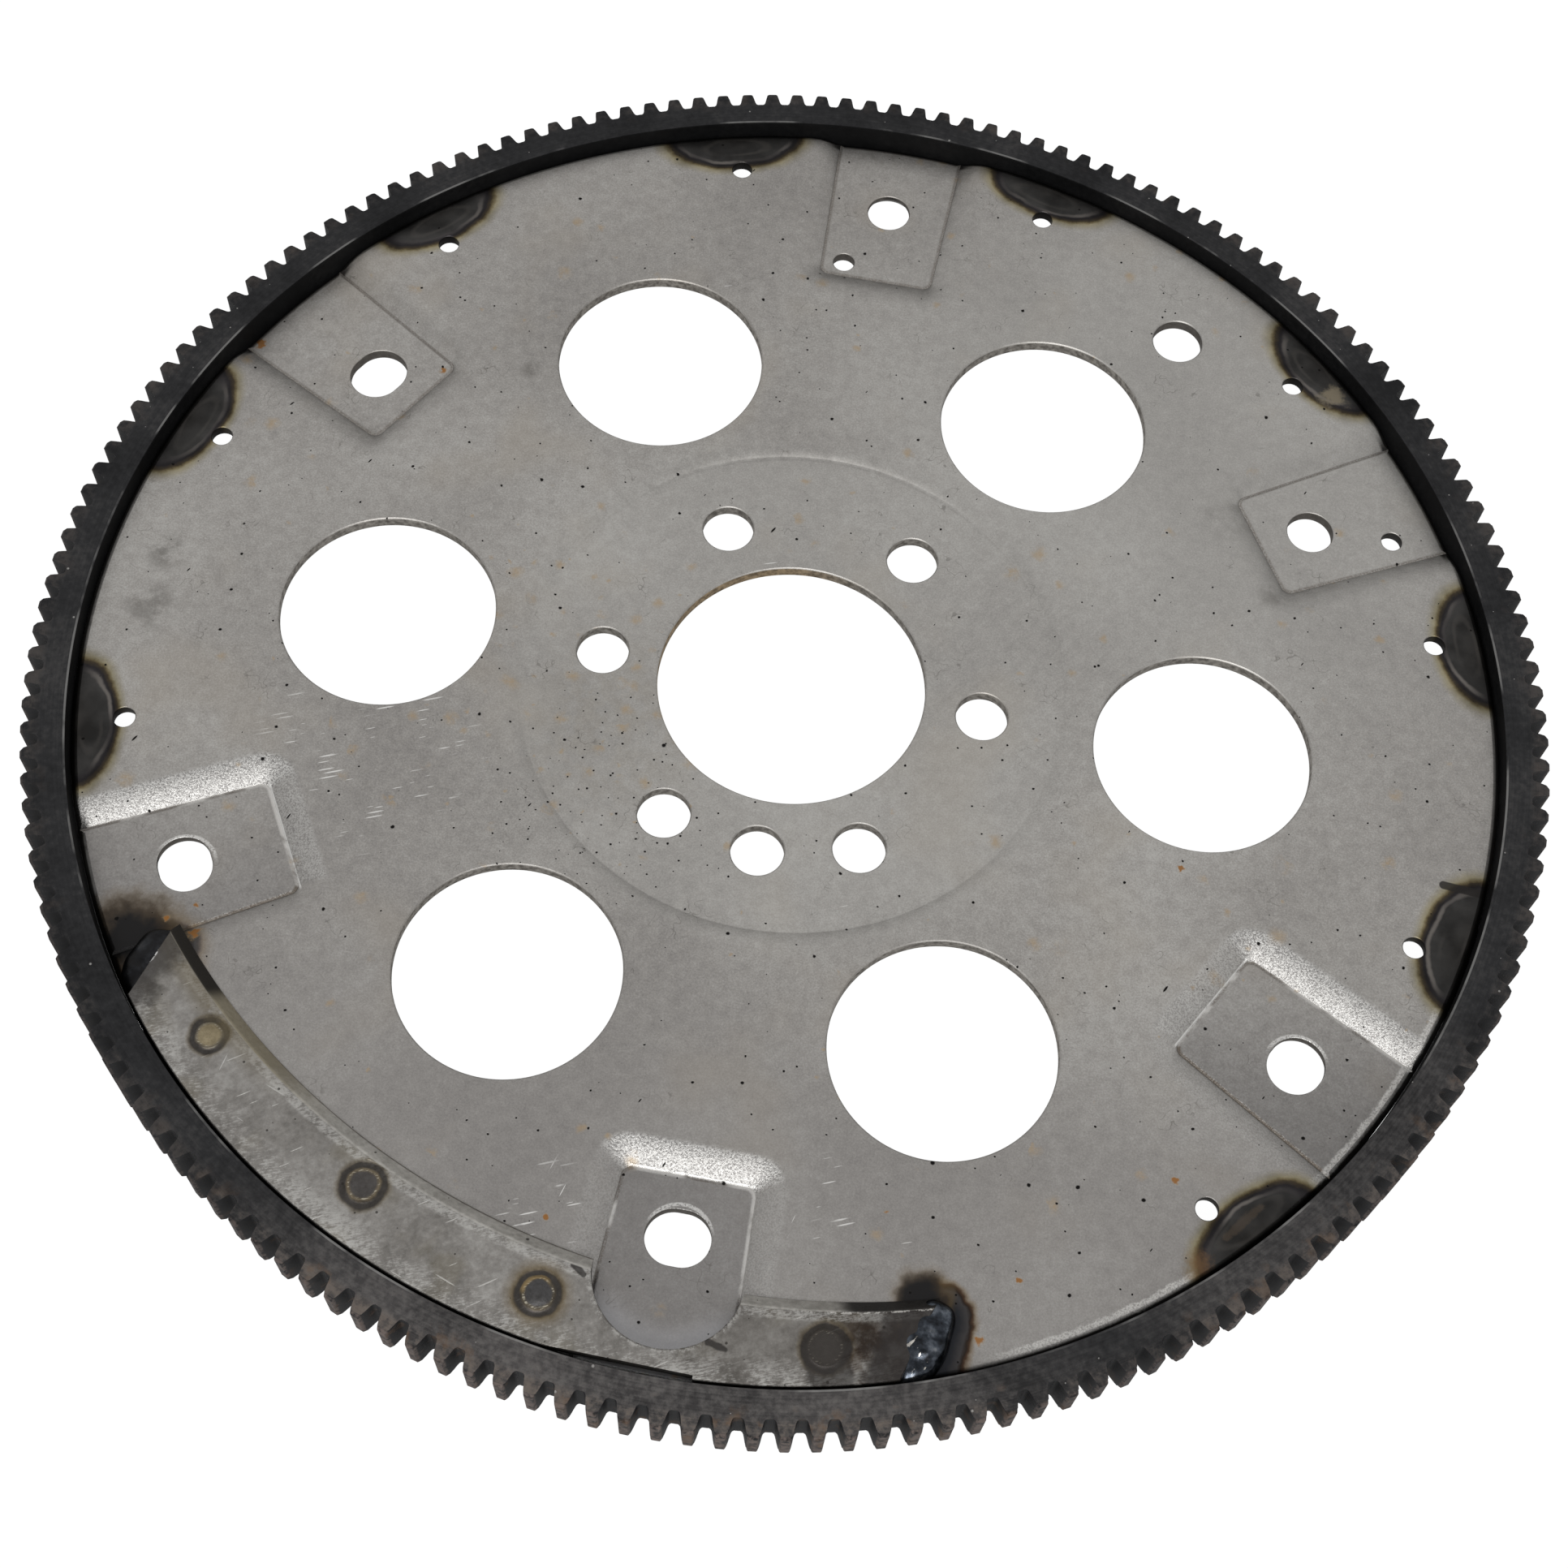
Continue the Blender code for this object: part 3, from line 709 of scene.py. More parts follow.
# %% The balance weight
WEIGHT_BOTTOM = PLATE_TOP + 0.3 * MM
WEIGHT_THICKNESS = 3.0 * MM
WEIGHT_TOP = WEIGHT_BOTTOM + WEIGHT_THICKNESS
WEIGHT_ANGLE = 253.9
WEIGHT_HALF = 93.0 * MM
WEIGHT_OUTER = 167.0 * MM
INNER_ARC = 173.3 * MM
INNER_ARC_BACK = 24.3 * MM
# Middle and radius of the notch over the pad, in mm
NOTCH_CENTRE = 145.5
NOTCH_RADIUS = 16.2
# Radius, angle and size of the four spots, the usual size being 1
SPOTS = ((156.4, 226.4, 0.82), (154.7, 244.4, 1.0), (157.3, 260.6, 0.96), (159.1, 282.6, 1.0))


def weight_outline(z, lean, inset):
    """The strip's outline, inner edge leaning in by lean, everything drawn in by inset."""
    outer = WEIGHT_OUTER - inset
    half = WEIGHT_HALF - inset
    end = math.asin(half / outer)
    steps = 72
    points = []
    for i in range(steps + 1):
        angle = end - 2 * end * i / steps
        points.append(Vector((outer * math.cos(angle), outer * math.sin(angle), z)))
    end = math.asin(half / INNER_ARC)
    for i in range(steps + 1):
        angle = -end + 2 * end * i / steps
        x = INNER_ARC * math.cos(angle) - INNER_ARC_BACK - lean + inset
        points.append(Vector((x, INNER_ARC * math.sin(angle), z)))
    place = Matrix.Rotation(math.radians(WEIGHT_ANGLE), 4, "Z")
    return [place @ point for point in points]


strip = bmesh.new()
loft(
    strip,
    [
        weight_outline(WEIGHT_BOTTOM, 3.3 * MM, 0.15 * MM),
        weight_outline(WEIGHT_BOTTOM + 0.2 * MM, 3.2 * MM, 0.0),
        weight_outline(WEIGHT_TOP - 0.55 * MM, 0.75 * MM, 0.0),
        weight_outline(WEIGHT_TOP - 0.25 * MM, 0.35 * MM, 0.07 * MM),
        weight_outline(WEIGHT_TOP - 0.07 * MM, 0.1 * MM, 0.25 * MM),
        weight_outline(WEIGHT_TOP, 0.0, 0.55 * MM),
    ],
)
weight = raw_object("weight_strip", strip)

notch = bmesh.new()
place = outward(NOTCH_CENTRE * MM, 270)
outlines = []
for z, grow in ((-2.0, 0.0), (2.4, 0.0), (2.8, 0.12), (3.0, 0.4), (6.0, 4.5)):
    radius = (NOTCH_RADIUS + grow) * MM
    height = WEIGHT_BOTTOM + z * MM
    points = [Vector((-40 * MM, side * radius, height)) for side in (1, -1)]
    for i in range(41):
        turn = math.pi * (i / 40 - 0.5)
        points.append(Vector((radius * math.cos(turn), radius * math.sin(turn), height)))
    outlines.append([place @ point for point in points])
loft(notch, outlines)
cut(weight, notch)

relief = bmesh.new()
corners = [(167.05, 262.0), (166.1, 273.1), (172.0, 273.1), (172.0, 262.0)]
loft(relief, [[polar(r * MM, a, z * MM) for r, a in corners] for z in (5.0, 20.0)])
cut(weight, relief)

# The dish round a spot in mm, as (radius, height above the strip), closed above
DISH = ((3.5, 0.05), (3.9, -0.16), (4.5, -0.28), (5.2, -0.22), (5.9, 0.05), (5.9, 2.0), (3.5, 2.0))
dishes = bmesh.new()
for radius, degrees, size in SPOTS:
    ring_cut = bmesh.new()
    spun(ring_cut, [(r * size * MM, WEIGHT_TOP + z * MM) for r, z in DISH], 72)
    bmesh.ops.transform(ring_cut, matrix=outward(radius * MM, degrees), verts=ring_cut.verts)
    carrier = bpy.data.meshes.new("dish")
    ring_cut.to_mesh(carrier)
    ring_cut.free()
    dishes.from_mesh(carrier)
    bpy.data.meshes.remove(carrier)
cut(weight, dishes)
print("balance weight:", len(weight.data.polygons), "faces")

# %% [markdown]
# ## Welds
#
# A weld bead is a row of frozen ripples. The two beads that close the ends of the weight start as
# spheres, are flattened and cut at the weight's end face, and their surface is rippled by moving
# the vertices. The twelve stitches under the rim are lofted along the corner in the same way.

# %% Rippled end beads
BEAD_CIRCLE = 159.0 * MM


def end_bead(name, side, length, width, height, ripple, wander, seed, out=0.0):
    """Bead along one end of the weight: side is -1 for the left end and 1 for the right.
    Its middle lies this far out from the end face, and the weight is cut from what laps over."""
    bm = bmesh.new()
    bmesh.ops.create_uvsphere(bm, u_segments=72, v_segments=48, radius=0.5)
    for vert in bm.verts:
        x, y, z = vert.co * 2
        arc = x * 4.2 + 0.9 * y * y + seed
        swell = 1 + ripple * math.sin(arc * math.pi) + 0.5 * ripple * math.sin(arc * 2.3 + 1.3)
        edge = 1 + wander * math.sin(5 * math.atan2(y, x) + seed)
        edge += 0.4 * wander * math.sin(9 * x + seed)
        vert.co = Vector((x * edge * length / 2, y * edge * width, max(z, 0) * swell * height))
        if z < 0:
            vert.co.z = z * height
    middle = Vector((math.sqrt(BEAD_CIRCLE**2 - WEIGHT_HALF**2), side * (WEIGHT_HALF + out)))
    geom = bm.verts[:] + bm.edges[:] + bm.faces[:]
    sliced = bmesh.ops.bisect_plane(
        bm, geom=geom, plane_co=(0, 0, 0), plane_no=(0, 0, -1), clear_outer=True, dist=1e-7
    )
    rim = [item for item in sliced["geom_cut"] if isinstance(item, bmesh.types.BMEdge)]
    bmesh.ops.contextual_create(bm, geom=rim)
    turn = Matrix.Rotation(math.radians(WEIGHT_ANGLE), 4, "Z")
    place = turn @ Matrix.Translation((middle.x, middle.y, PLATE_TOP + 0.05 * MM))
    bmesh.ops.transform(bm, matrix=place, verts=bm.verts)
    bead = raw_object(name, bm)
    strip = bmesh.new()
    strip.from_mesh(weight.data)
    cut(bead, strip)
    return bead


# The right bead's height is set by the CAD model's box
left_size = (17.0 * MM, 5.6 * MM, 3.0 * MM)
right_size = (20.5 * MM, 5.3 * MM, 3.95 * MM)
left_bead = end_bead("end_bead_left", -1, *left_size, 0.03, 0.03, 0.4, 0.6 * MM)
right_bead = end_bead("end_bead_right", 1, *right_size, 0.05, 0.03, 1.7, 1.0 * MM)
print("end beads:", len(left_bead.data.polygons) + len(right_bead.data.polygons), "faces")

# %% Stitch welds under the rim
STITCH_LENGTH = 25.0 * MM
STITCH_LEG = 3.8 * MM


def stitch(number, degrees):
    wall = RING_BORE - 0.05 * MM
    roof = PLATE_TOP - PLATE_THICKNESS - 0.05 * MM
    sweep = math.degrees(STITCH_LENGTH / RING_BORE)
    count = 30
    outlines = []
    for i in range(count + 1):
        share = 2 * i / count - 1
        ripple = 1 + 0.05 * math.sin(2.4 * i + number)
        leg = STITCH_LEG * ripple * math.sqrt(max(0.06, 1 - share**2))
        angle = degrees + sweep * share / 2
        section = [polar(wall, angle, roof)]
        for j in range(9):
            turn = math.radians(90 * j / 8)
            swell = 0.86 + 0.14 * abs(math.cos(2 * turn))
            reach = leg * swell
            section.append(polar(wall - reach * math.cos(turn), angle, roof - reach * math.sin(turn)))
        outlines.append(section)
    bm = bmesh.new()
    loft(bm, outlines)
    return raw_object(f"stitch_bead_{number:02d}", bm)


stitches = [stitch(i + 1, 15 + 30 * i) for i in range(12)]
print("stitches:", len(stitches))

# %% [markdown]
# ## Finishes
#
# Four steels. The disc is bare rolled steel: grey, faintly streaked, dotted with dirt and rust, and
# blued in half-ovals where the stitches behind it burned through. Distances in the plane of the
# disc drive every mask, so the marks sit where the welds are.


# %% Shared masks
def flat_distance(x, y, radius, degrees):
    """Distance in the plane from the point at this radius and angle, in millimetres."""
    cx, cy, _ = polar(radius, degrees)
    return ((x - cx) ** 2 + (y - cy) ** 2).function("SQRT")


def near(g, x, y, radius, degrees, far, close):
    """1 within close of the point at this radius and angle, 0 beyond far."""
    return g.smooth(flat_distance(x, y, radius, degrees), far, close)


def line_distance(x, y, start, end):
    """Distance in the plane from a straight line between two (radius, angle) points."""
    ax, ay, _ = polar(*start)
    bx, by, _ = polar(*end)
    dx, dy = bx - ax, by - ay
    along = ((x - ax) * dx + (y - ay) * dy) / (dx * dx + dy * dy)
    along = along.higher(0.0).lower(1.0)
    return ((x - ax - along * dx) ** 2 + (y - ay - along * dy) ** 2).function("SQRT")


def between(g, value, low, high, soft):
    """1 between low and high, falling off over soft."""
    return g.smooth(value, low - soft, low) * g.smooth(value, high + soft, high)


def shifted(g, where, x_shift, y_shift):
    settings = {"operation": "ADD"}
    return g.node("VectorMath", settings, {0: where, 1: (x_shift, y_shift, 0)})


def scratch_lines(g, where, degrees, size, share, ratio=16, widest=0.15):
    """Short thin lines, all leaning one way."""
    along = g.stretched(where, degrees, ratio)
    return g.dots(along, size, 0.05, widest, share)


def squiggles(g, where, size):
    """Hair-thin curled lines, here and there."""
    curl = g.noise(where, size, detail=1.0)
    here = g.smooth(g.noise(shifted(g, where, 31, 8), size * 3, detail=2.0), 0.6, 0.68)
    return between(g, curl, 0.497, 0.503, 0.012) * here


print("mask helpers ready")

# %% [markdown]
# ## Bare pressed steel
#
# Cold rolled sheet is a calm grey: broad clouds, a fine grain, and faint streaks where the hub was
# rubbed. Dirt sits in pinholes as black dots, thick at the lower left of the hub, and tan stains
# mark where rust has begun. Each of these is a mask, laid over the last colour.

# %% Sheet colour and dirt
DOT_BLACK = srgb(20, 19, 18)
RUST = srgb(138, 94, 50)
TAN = srgb(158, 137, 106)
# Rust spots: radius, angle and size in mm
RUST_SPOTS = (
    (125.1, 144.8, 1.3),
    (165.3, 154.5, 1.9),
    (100.7, 342.2, 1.0),
    (146.6, 314.3, 1.1),
    (153.0, 214.3, 1.0),
    (146.1, 214.1, 0.8),
    (148.9, 216.8, 2.2),
    (161.1, 294.1, 1.5),
    (151.2, 298.5, 1.1),
    (141.0, 258.5, 0.8),
    (130.5, 289.0, 0.8),
)
# Smudges: radius, angle and reach in mm, and how dark they are
SMUDGES = (
    (153.6, 178.1, 7.0, 0.55),
    (153.3, 183.7, 9.0, 0.45),
    (117.2, 34.3, 8.0, 0.3),
    (119.9, 22.7, 6.0, 0.35),
    (127.5, 156.9, 6.0, 0.3),
    (110.0, 136.7, 4.0, 0.5),
)


def rolled_sheet(g, where, x, y):
    cloud = g.noise(where, 65, detail=2.0)
    patch = g.noise(where, 3.0, detail=4.0, rough=0.7)
    fine = g.noise(where, 0.4, detail=2.0, rough=0.7)
    streaks = g.noise(g.stretched(where, 52, 14), 0.9, detail=3.0, rough=0.6) - 0.5
    streaks = streaks * near(g, x, y, 58, 12, 60, 20)
    tone = 0.3 * cloud + 0.26 * patch + 0.34 * fine + 0.1 * streaks + 0.05
    stops = tones((0.36, 124, 121, 118), (0.5, 148, 145, 141), (0.64, 171, 169, 165))
    warm = g.smooth(g.noise(where, 30, detail=2.0), 0.52, 0.75)
    base = g.blend(warm * 0.3, g.ramp(tone, stops), srgb(150, 141, 128))
    # Painted light: lighter towards the upper right and over the hub.
    lit = near(g, x, y, 120, 45, 120, 30).higher(g.smooth(x * x + y * y, 5500, 3600) * 0.7)
    base = g.lay(base, lit * 0.25, 178, 177, 173)
    # Painted shade: darker towards the bottom.
    shade = g.smooth(y, -55, -125) * 0.4
    return g.blend(shade, base, srgb(122, 119, 117)), patch, fine


def dirt(g, base, where, x, y, clean):
    """Stains and smudges where the sheet isn't burnt, then black dots and rust."""
    mottle = g.noise(where, 5, detail=5.0, rough=0.65)
    ragged_where = g.warped(where, 2.0, 1.2)
    stain = near(g, x, y, 42, 205, 34, 8) * g.smooth(mottle, 0.38, 0.62)
    base = g.lay(base, stain * 0.15, 128, 116, 94)
    hub_side = near(g, x, y, 52, 190, 60, 25)
    tan = g.dots(ragged_where, 6.0, 0.3, 1.6, 0.1 + 0.6 * hub_side, soft=0.9)
    base = g.blend(tan * clean * g.smooth(mottle, 0.4, 0.58) * 0.6, base, TAN)
    for radius, degrees, reach, depth in SMUDGES:
        spread = near(g, x, y, radius, degrees, reach, reach * 0.2)
        base = g.lay(base, spread * g.smooth(mottle, 0.38, 0.6) * depth, 84, 81, 76)
    ragged_edge = 1.4 * (mottle - 0.5) + 1.6 * (g.noise(where, 1.0, detail=3.0) - 0.5)
    for radius, degrees, size in RUST_SPOTS:
        ragged = flat_distance(x, y, radius, degrees) / size + ragged_edge
        base = g.blend(g.smooth(ragged, 1.0, 0.3) * 0.5, base, TAN)
        base = g.blend(g.smooth(ragged, 0.7, 0.35) * 0.9, base, RUST)
    cluster = near(g, x, y, 52, 228, 36, 12)
    small = g.dots(g.warped(where, 0.6, 0.15), 2.6, 0.12, 0.3, 0.04 + 0.42 * cluster)
    large = g.dots(g.warped(shifted(g, where, 50, 11), 0.8, 0.25), 11, 0.22, 0.46, 0.38)
    dashes = scratch_lines(g, shifted(g, where, 70, 40), 62, 13, 0.3, ratio=3.5, widest=0.26)
    specks = small.higher(large).higher(dashes)
    base = g.blend(specks, base, DOT_BLACK)
    return g.blend(squiggles(g, where, 3.5) * clean * 0.45, base, srgb(88, 85, 80)), specks


def scratched(g, base, where, x, y):
    """Bright scratches where other parts lay on the sheet."""
    sparse = scratch_lines(g, where, 20, 5.0, 0.05)
    left = near(g, x, y, 100, 202, 32, 14)
    low = near(g, x, y, 127, 283, 12, 6)
    low = low.higher(near(g, x, y, 139, 258, 13, 6))
    crossed = scratch_lines(g, shifted(g, where, 9, 4), 75, 2.0, 0.5)
    grouped = g.smooth(g.noise(where, 8, detail=1.0), 0.47, 0.55)
    fine = scratch_lines(g, where, 23, 1.1, 0.85, ratio=12, widest=0.2) * grouped
    marks = (fine * left).higher(fine.higher(crossed) * low).higher(sparse)
    return g.blend(marks * 0.75, base, srgb(222, 221, 218))


print(len(RUST_SPOTS), "rust spots and", len(SMUDGES), "smudges")

# %% [markdown]
# ## Heat marks
#
# The stitches that hold the ring were welded from behind, and each burned a half oval through the
# sheet: sooty inside, a pale contour, a black outline, then straw. No two are alike, so a ramp with
# constant steps serves as a table: it gives the shift, half width and depth of the mark in each
# twelfth of the rim.

# %% Heat marks of the stitches
# Shift along the rim, half width and depth of each mark in mm, from 195 degrees on
HEAT_SHAPES = (
    (0.6, 18.2, 11.8),
    (0.0, 17.5, 11.5),
    (0.0, 17.5, 11.5),
    (0.0, 17.5, 11.5),
    (5.4, 17.6, 10.8),
    (5.4, 18.2, 12.4),
    (-1.3, 17.9, 12.4),
    (0.0, 17.9, 12.0),
    (1.7, 18.3, 11.8),
    (1.2, 19.4, 12.4),
    (-2.4, 17.7, 12.0),
    (-0.9, 18.4, 11.8),
)
SHAPE_SPAN = 40.0
HEAT_COLOURS = tones(
    (0.0, 48, 46, 44),
    (0.5, 46, 45, 44),
    (0.72, 54, 53, 52),
    (0.8, 47, 45, 46),
    (0.86, 38, 36, 37),
    (0.92, 58, 51, 41),
    (0.96, 98, 88, 64),
    (1.0, 126, 118, 92),
)


def heat_marks(g, base, where, x, y, radius):
    angle = g.node("Math", {"operation": "ARCTAN2"}, {0: y, 1: x})
    turns = angle * (12 / (2 * math.pi)) + 6
    stops = []
    for i, (shift, half, depth) in enumerate(HEAT_SHAPES):
        stops.append((i / 12, (shift / SHAPE_SPAN + 0.5, half / SHAPE_SPAN, depth / SHAPE_SPAN)))
    shape = g.split(g.ramp(turns / 12, stops, ease="CONSTANT"))
    shift, half, depth = (value * SHAPE_SPAN for value in shape)
    across = (turns.function("FRACT") - 0.5) * (2 * math.pi / 12) * radius - shift + SHAPE_SPAN / 2
    inward = PLATE_RADIUS / MM - radius
    wobble = g.noise(where, 7, detail=3.0) - 0.5
    fleck = g.noise(where, 1.1, detail=3.0, rough=0.65) - 0.5
    oval = ((across / half) ** 2 + (inward / depth) ** 2).function("SQRT") + 0.12 * wobble
    heated = g.smooth(oval + 0.04 * fleck, 1.18, 0.93)
    colour = g.ramp(oval + 0.06 * fleck, HEAT_COLOURS)
    murk = g.ramp(g.noise(where, 6, detail=3.0), ((0.35, (0.66,) * 3), (0.65, (1.25,) * 3)))
    colour = g.blend(1.0, colour, murk, kind="MULTIPLY")
    inner = ((across / 8.5) ** 2 + ((inward - 4.6) / 2.6) ** 2).function("SQRT") + 0.5 * wobble
    lit = g.smooth(g.noise(where, 16, detail=1.0), 0.4, 0.62)
    contour = between(g, oval + 0.06 * wobble, 0.775, 0.79, 0.05) * (0.15 + 0.85 * lit)
    contour = contour * g.smooth(inward / depth, 0.1, 0.6)
    loop = between(g, inner, 0.95, 1.0, 0.22) * (1 - lit) * g.smooth(oval, 0.8, 0.7)
    colour = g.blend(contour * 0.6, colour, srgb(118, 113, 108))
    colour = g.blend(loop * 0.18, colour, srgb(92, 88, 84))
    base = g.blend(heated, base, colour)
    pale = g.smooth(flat_distance(x, y, 162.2, 41.9) / 4.6 + 2.0 * wobble + fleck, 1.0, 0.3)
    base = g.lay(base, pale * 0.8, 124, 115, 98)
    lens = line_distance(x, y, (162.4, 314.8), (161.8, 318.4)) / 1.2
    base = g.lay(base, g.smooth(lens + 1.8 * wobble + 1.2 * fleck, 1.0, 0.3) * 0.25, 98, 84, 70)
    burnt = flat_distance(x, y, 164.0, 311.6) / 4.4 + 1.8 * wobble + fleck
    base = g.lay(base, g.smooth(burnt, 1.1, 0.3) * 0.6, 112, 86, 60)
    tab = g.smooth(line_distance(x, y, (157.4, 351.5), (166.0, 351.7)), 1.15, 0.85)
    base = g.lay(base, tab * 0.9, 40, 38, 37)
    return base, heated


print("heat marks:", len(HEAT_SHAPES))

# %% [markdown]
# The two beads at the ends of the weight scorched the sheet beside them. The same order of colours
# is laid over the distance from a line along each bead, inside a soft dark halo.

# %% Scorch beside the end beads
SCORCH_COLOURS = tones(
    (0.0, 26, 26, 28),
    (0.5, 38, 39, 42),
    (0.72, 60, 58, 58),
    (0.8, 42, 35, 31),
    (0.86, 66, 50, 38),
    (0.94, 112, 96, 72),
)
# Line along the bead, reach and softness of the scorch, then middle, reach and core of a halo
SCORCHES = (
    ((156.2, 217.2), (171.0, 217.5), 9.4, 0.34, (162.0, 214.9), 11.0, 0.85),
    ((154.6, 291.5), (168.0, 289.4), 8.6, 0.1, (150.0, 290.5), 6.2, 1.0),
)


def scorched(g, base, where, x, y):
    wobble = g.noise(where, 4, detail=4.0) - 0.5
    soot = 0.0 * x
    for start, end, spread, soft, middle, halo, core in SCORCHES:
        reach = line_distance(x, y, start, end) / spread + 0.3 * wobble
        base = g.blend(g.smooth(reach, 0.96 + soft, 0.94 - soft), base, g.ramp(reach, SCORCH_COLOURS))
        haze = flat_distance(x, y, *middle) / halo + 0.8 * wobble
        base = g.lay(base, g.smooth(haze, 1.35, 0.8) * 0.5, 104, 88, 62)
        base = g.lay(base, g.smooth(haze, 1.1, 0.7) * 0.85, 58, 49, 40)
        base = g.lay(base, g.smooth(haze, core, 0.45 * core) * 0.95, 34, 34, 35)
        soot = soot.higher(g.smooth(haze, 1.4, 1.0)).higher(g.smooth(reach, 1.1, 0.9))
    return base, soot


# %% Disc material
disc_steel, shader, g, where = new_steel("bare_pressed_steel", 0.85, tint=0.5, level=0.3)
x, y, z = g.split(where)
radius = (x * x + y * y).function("SQRT")
base, patch, fine = rolled_sheet(g, where, x, y)
_, tilt, facing = g.normal()

# The press tool left galling on the slopes of the lower pads that face the lower edge of the picture.
# Those slopes face the softbox, so their lighter, sparkling tone is partly a painted highlight.
GALLED_PADS = (210, 270, 330)
pad_near = 0.0 * x
pad_edge_highlight = 0.0 * x
for degrees in GALLED_PADS:
    pad_near = pad_near.higher(near(g, x, y, 140, degrees, 42, 34))
    ahead, aside, _ = polar(1, degrees)
    across = (y * ahead - x * aside).function("ABSOLUTE")
    front = between(g, x * ahead + y * aside, 122.55, 122.85, 0.2) * g.smooth(across, 14.6, 13.2)
    pad_edge_highlight = pad_edge_highlight.higher(front)
downhill = (0 - tilt) / (1.0001 - facing * facing).higher(0.0001).function("SQRT")
sloping = g.smooth(facing, 0.9995, 0.985) * g.smooth(facing, 0.6, 0.8)
galled_and_lit = pad_near * sloping * (0.22 * g.smooth(x, -70, -30)).higher(g.smooth(downhill, 0.2, 0.8))
sparkle = g.noise(where, 0.42, detail=2.0, rough=0.75)
galled_and_lit_tone = g.ramp(sparkle, tones((0.38, 116, 114, 113), (0.58, 198, 197, 194)))
base = g.blend(galled_and_lit * 0.75, base, galled_and_lit_tone)
# Painted highlight along the inner edge of each lower pad.
base = g.lay(base, pad_edge_highlight * g.smooth(patch, 0.36, 0.5) * 0.75, 232, 231, 228)

# Painted shade darkens the recessed floors of the lower pads, the lower right one most, and painted
# light brightens the floor beside the weight's notch. The coined line round them is dulled along one
# side of the two outer pads, carries a painted highlight in places, and is brown in spots elsewhere.
pad_floor = g.smooth(z, 6.1, 5.85) * g.smooth(facing, 0.9, 0.97) * g.smooth(y, -40, -90)
base = g.blend(pad_floor * g.smooth(radius, 119, 121), base, (0.8, 0.8, 0.81), kind="MULTIPLY")
deeper_shade = near(g, x, y, 145, 330, 36, 28) * pad_floor
base = g.blend(deeper_shade, base, (0.84, 0.84, 0.84), kind="MULTIPLY")
notch_light = near(g, x, y, 145.5, 270, 8, 15.5) * g.smooth(radius, 149, 157) * pad_floor
base = g.lay(base, notch_light * g.smooth(x.function("ABSOLUTE"), 19, 17) * 0.3, 200, 201, 206)
coined = g.smooth(z, 5.79, 5.66) * g.smooth(facing, 0.55, 0.75) * g.smooth(radius, 118, 120)
dull = g.smooth(line_distance(x, y, (126, 216.8), (165, 215.8)), 3.0, 2.2)
dull = dull.higher(g.smooth(line_distance(x, y, (126, 323.2), (165, 324.2)), 3.0, 2.2))
coined_highlight = g.smooth(g.noise(where, 9, detail=3.0), 0.42, 0.58) * g.smooth(y, 0, -30) * (1 - dull)
base = g.lay(base, coined * dull * 0.65, 96, 88, 78)
base = g.lay(base, coined * coined_highlight * 0.5, 214, 212, 208)
base = g.lay(base, coined * (1 - coined_highlight) * g.smooth(fine, 0.35, 0.6) * 0.6, 84, 74, 64)
base = scratched(g, base, where, x, y)
base, heated = heat_marks(g, base, where, x, y, radius)
base, soot = scorched(g, base, where, x, y)
base, specks = dirt(g, base, where, x, y, 1 - heated.higher(soot))

# Sheared walls: torn and darker grey, brown in the bore. Further out they are painted dark as shade,
# near black at the small holes and the rim, and the rim's rounded edge takes the same painted shade.
sheared = g.smooth(facing.function("ABSOLUTE"), 0.75, 0.35)
tear = g.noise(where, 1.2, detail=3.0)
wall = g.ramp(tear, tones((0.35, 80, 76, 71), (0.65, 134, 130, 124)))
bore_tone = g.ramp(tear, tones((0.35, 92, 76, 52), (0.65, 146, 126, 96)))
wall = g.blend(g.smooth(radius, 36, 33) * g.smooth(x, 16, -8) * 0.9, wall, bore_tone)
wall = g.blend(g.smooth(radius, 124.3, 124.9) * 0.8, wall, srgb(58, 54, 50))
wall = g.blend(g.smooth(radius, 150.5, 151.5) * 0.95, wall, srgb(14, 13, 12))
at_rim = g.smooth(radius, 164.6, 165.6)
rim_lit = near(g, x, y, 167, 321, 80, 66)
base = g.blend(sheared.higher(at_rim * g.smooth(facing, 0.97, 0.85)) * 0.9, base, wall)
# Painted highlight on the rim's rounded edge at the lower right.
rim_highlight = between(g, radius + 2.0 * (patch - 0.5), 164.9, 165.9, 0.7) * rim_lit * (1 - heated)
rim_highlight_tone = g.ramp(fine, tones((0.35, 150, 148, 145), (0.6, 214, 212, 208)))
base = g.blend(rim_highlight * g.smooth(facing, 0.5, 0.8) * 0.6, base, rim_highlight_tone)

# A painted highlight lies on the rolled edge along the upper side of the lower pads' bolt holes.
for degrees, centre, diameter, slot, _ in CONVERTER_HOLES[3:]:
    across, up, _ = polar(centre, degrees)
    diameter += 0.7 * slot
    lip_highlight = between(g, flat_distance(x, y, centre, degrees), diameter / 2 + 0.25, diameter / 2 + 0.7, 0.35)
    upper = g.smooth(y - up, 1.5, 4.5) * g.smooth(sparkle, 0.34, 0.5) * g.smooth(facing, 0.5, 0.8)
    base = g.lay(base, lip_highlight * upper * 0.55, 222, 221, 218)

rough = 0.37 + 0.14 * patch - 0.06 * heated + 0.2 * sheared
sheet = g.bump(patch, 0.05, 0.5)
sheet = g.bump(fine, 0.015, 0.5, sheet)
sheet = g.bump(sparkle, 0.13, galled_and_lit, sheet)
sheet = g.bump(1 - specks, 0.08, 0.7, sheet)
connect(g, shader, Base_Color=base, Roughness=rough, Normal=sheet)
finish_piece(disc, disc_steel, ["flexplate_disc"])
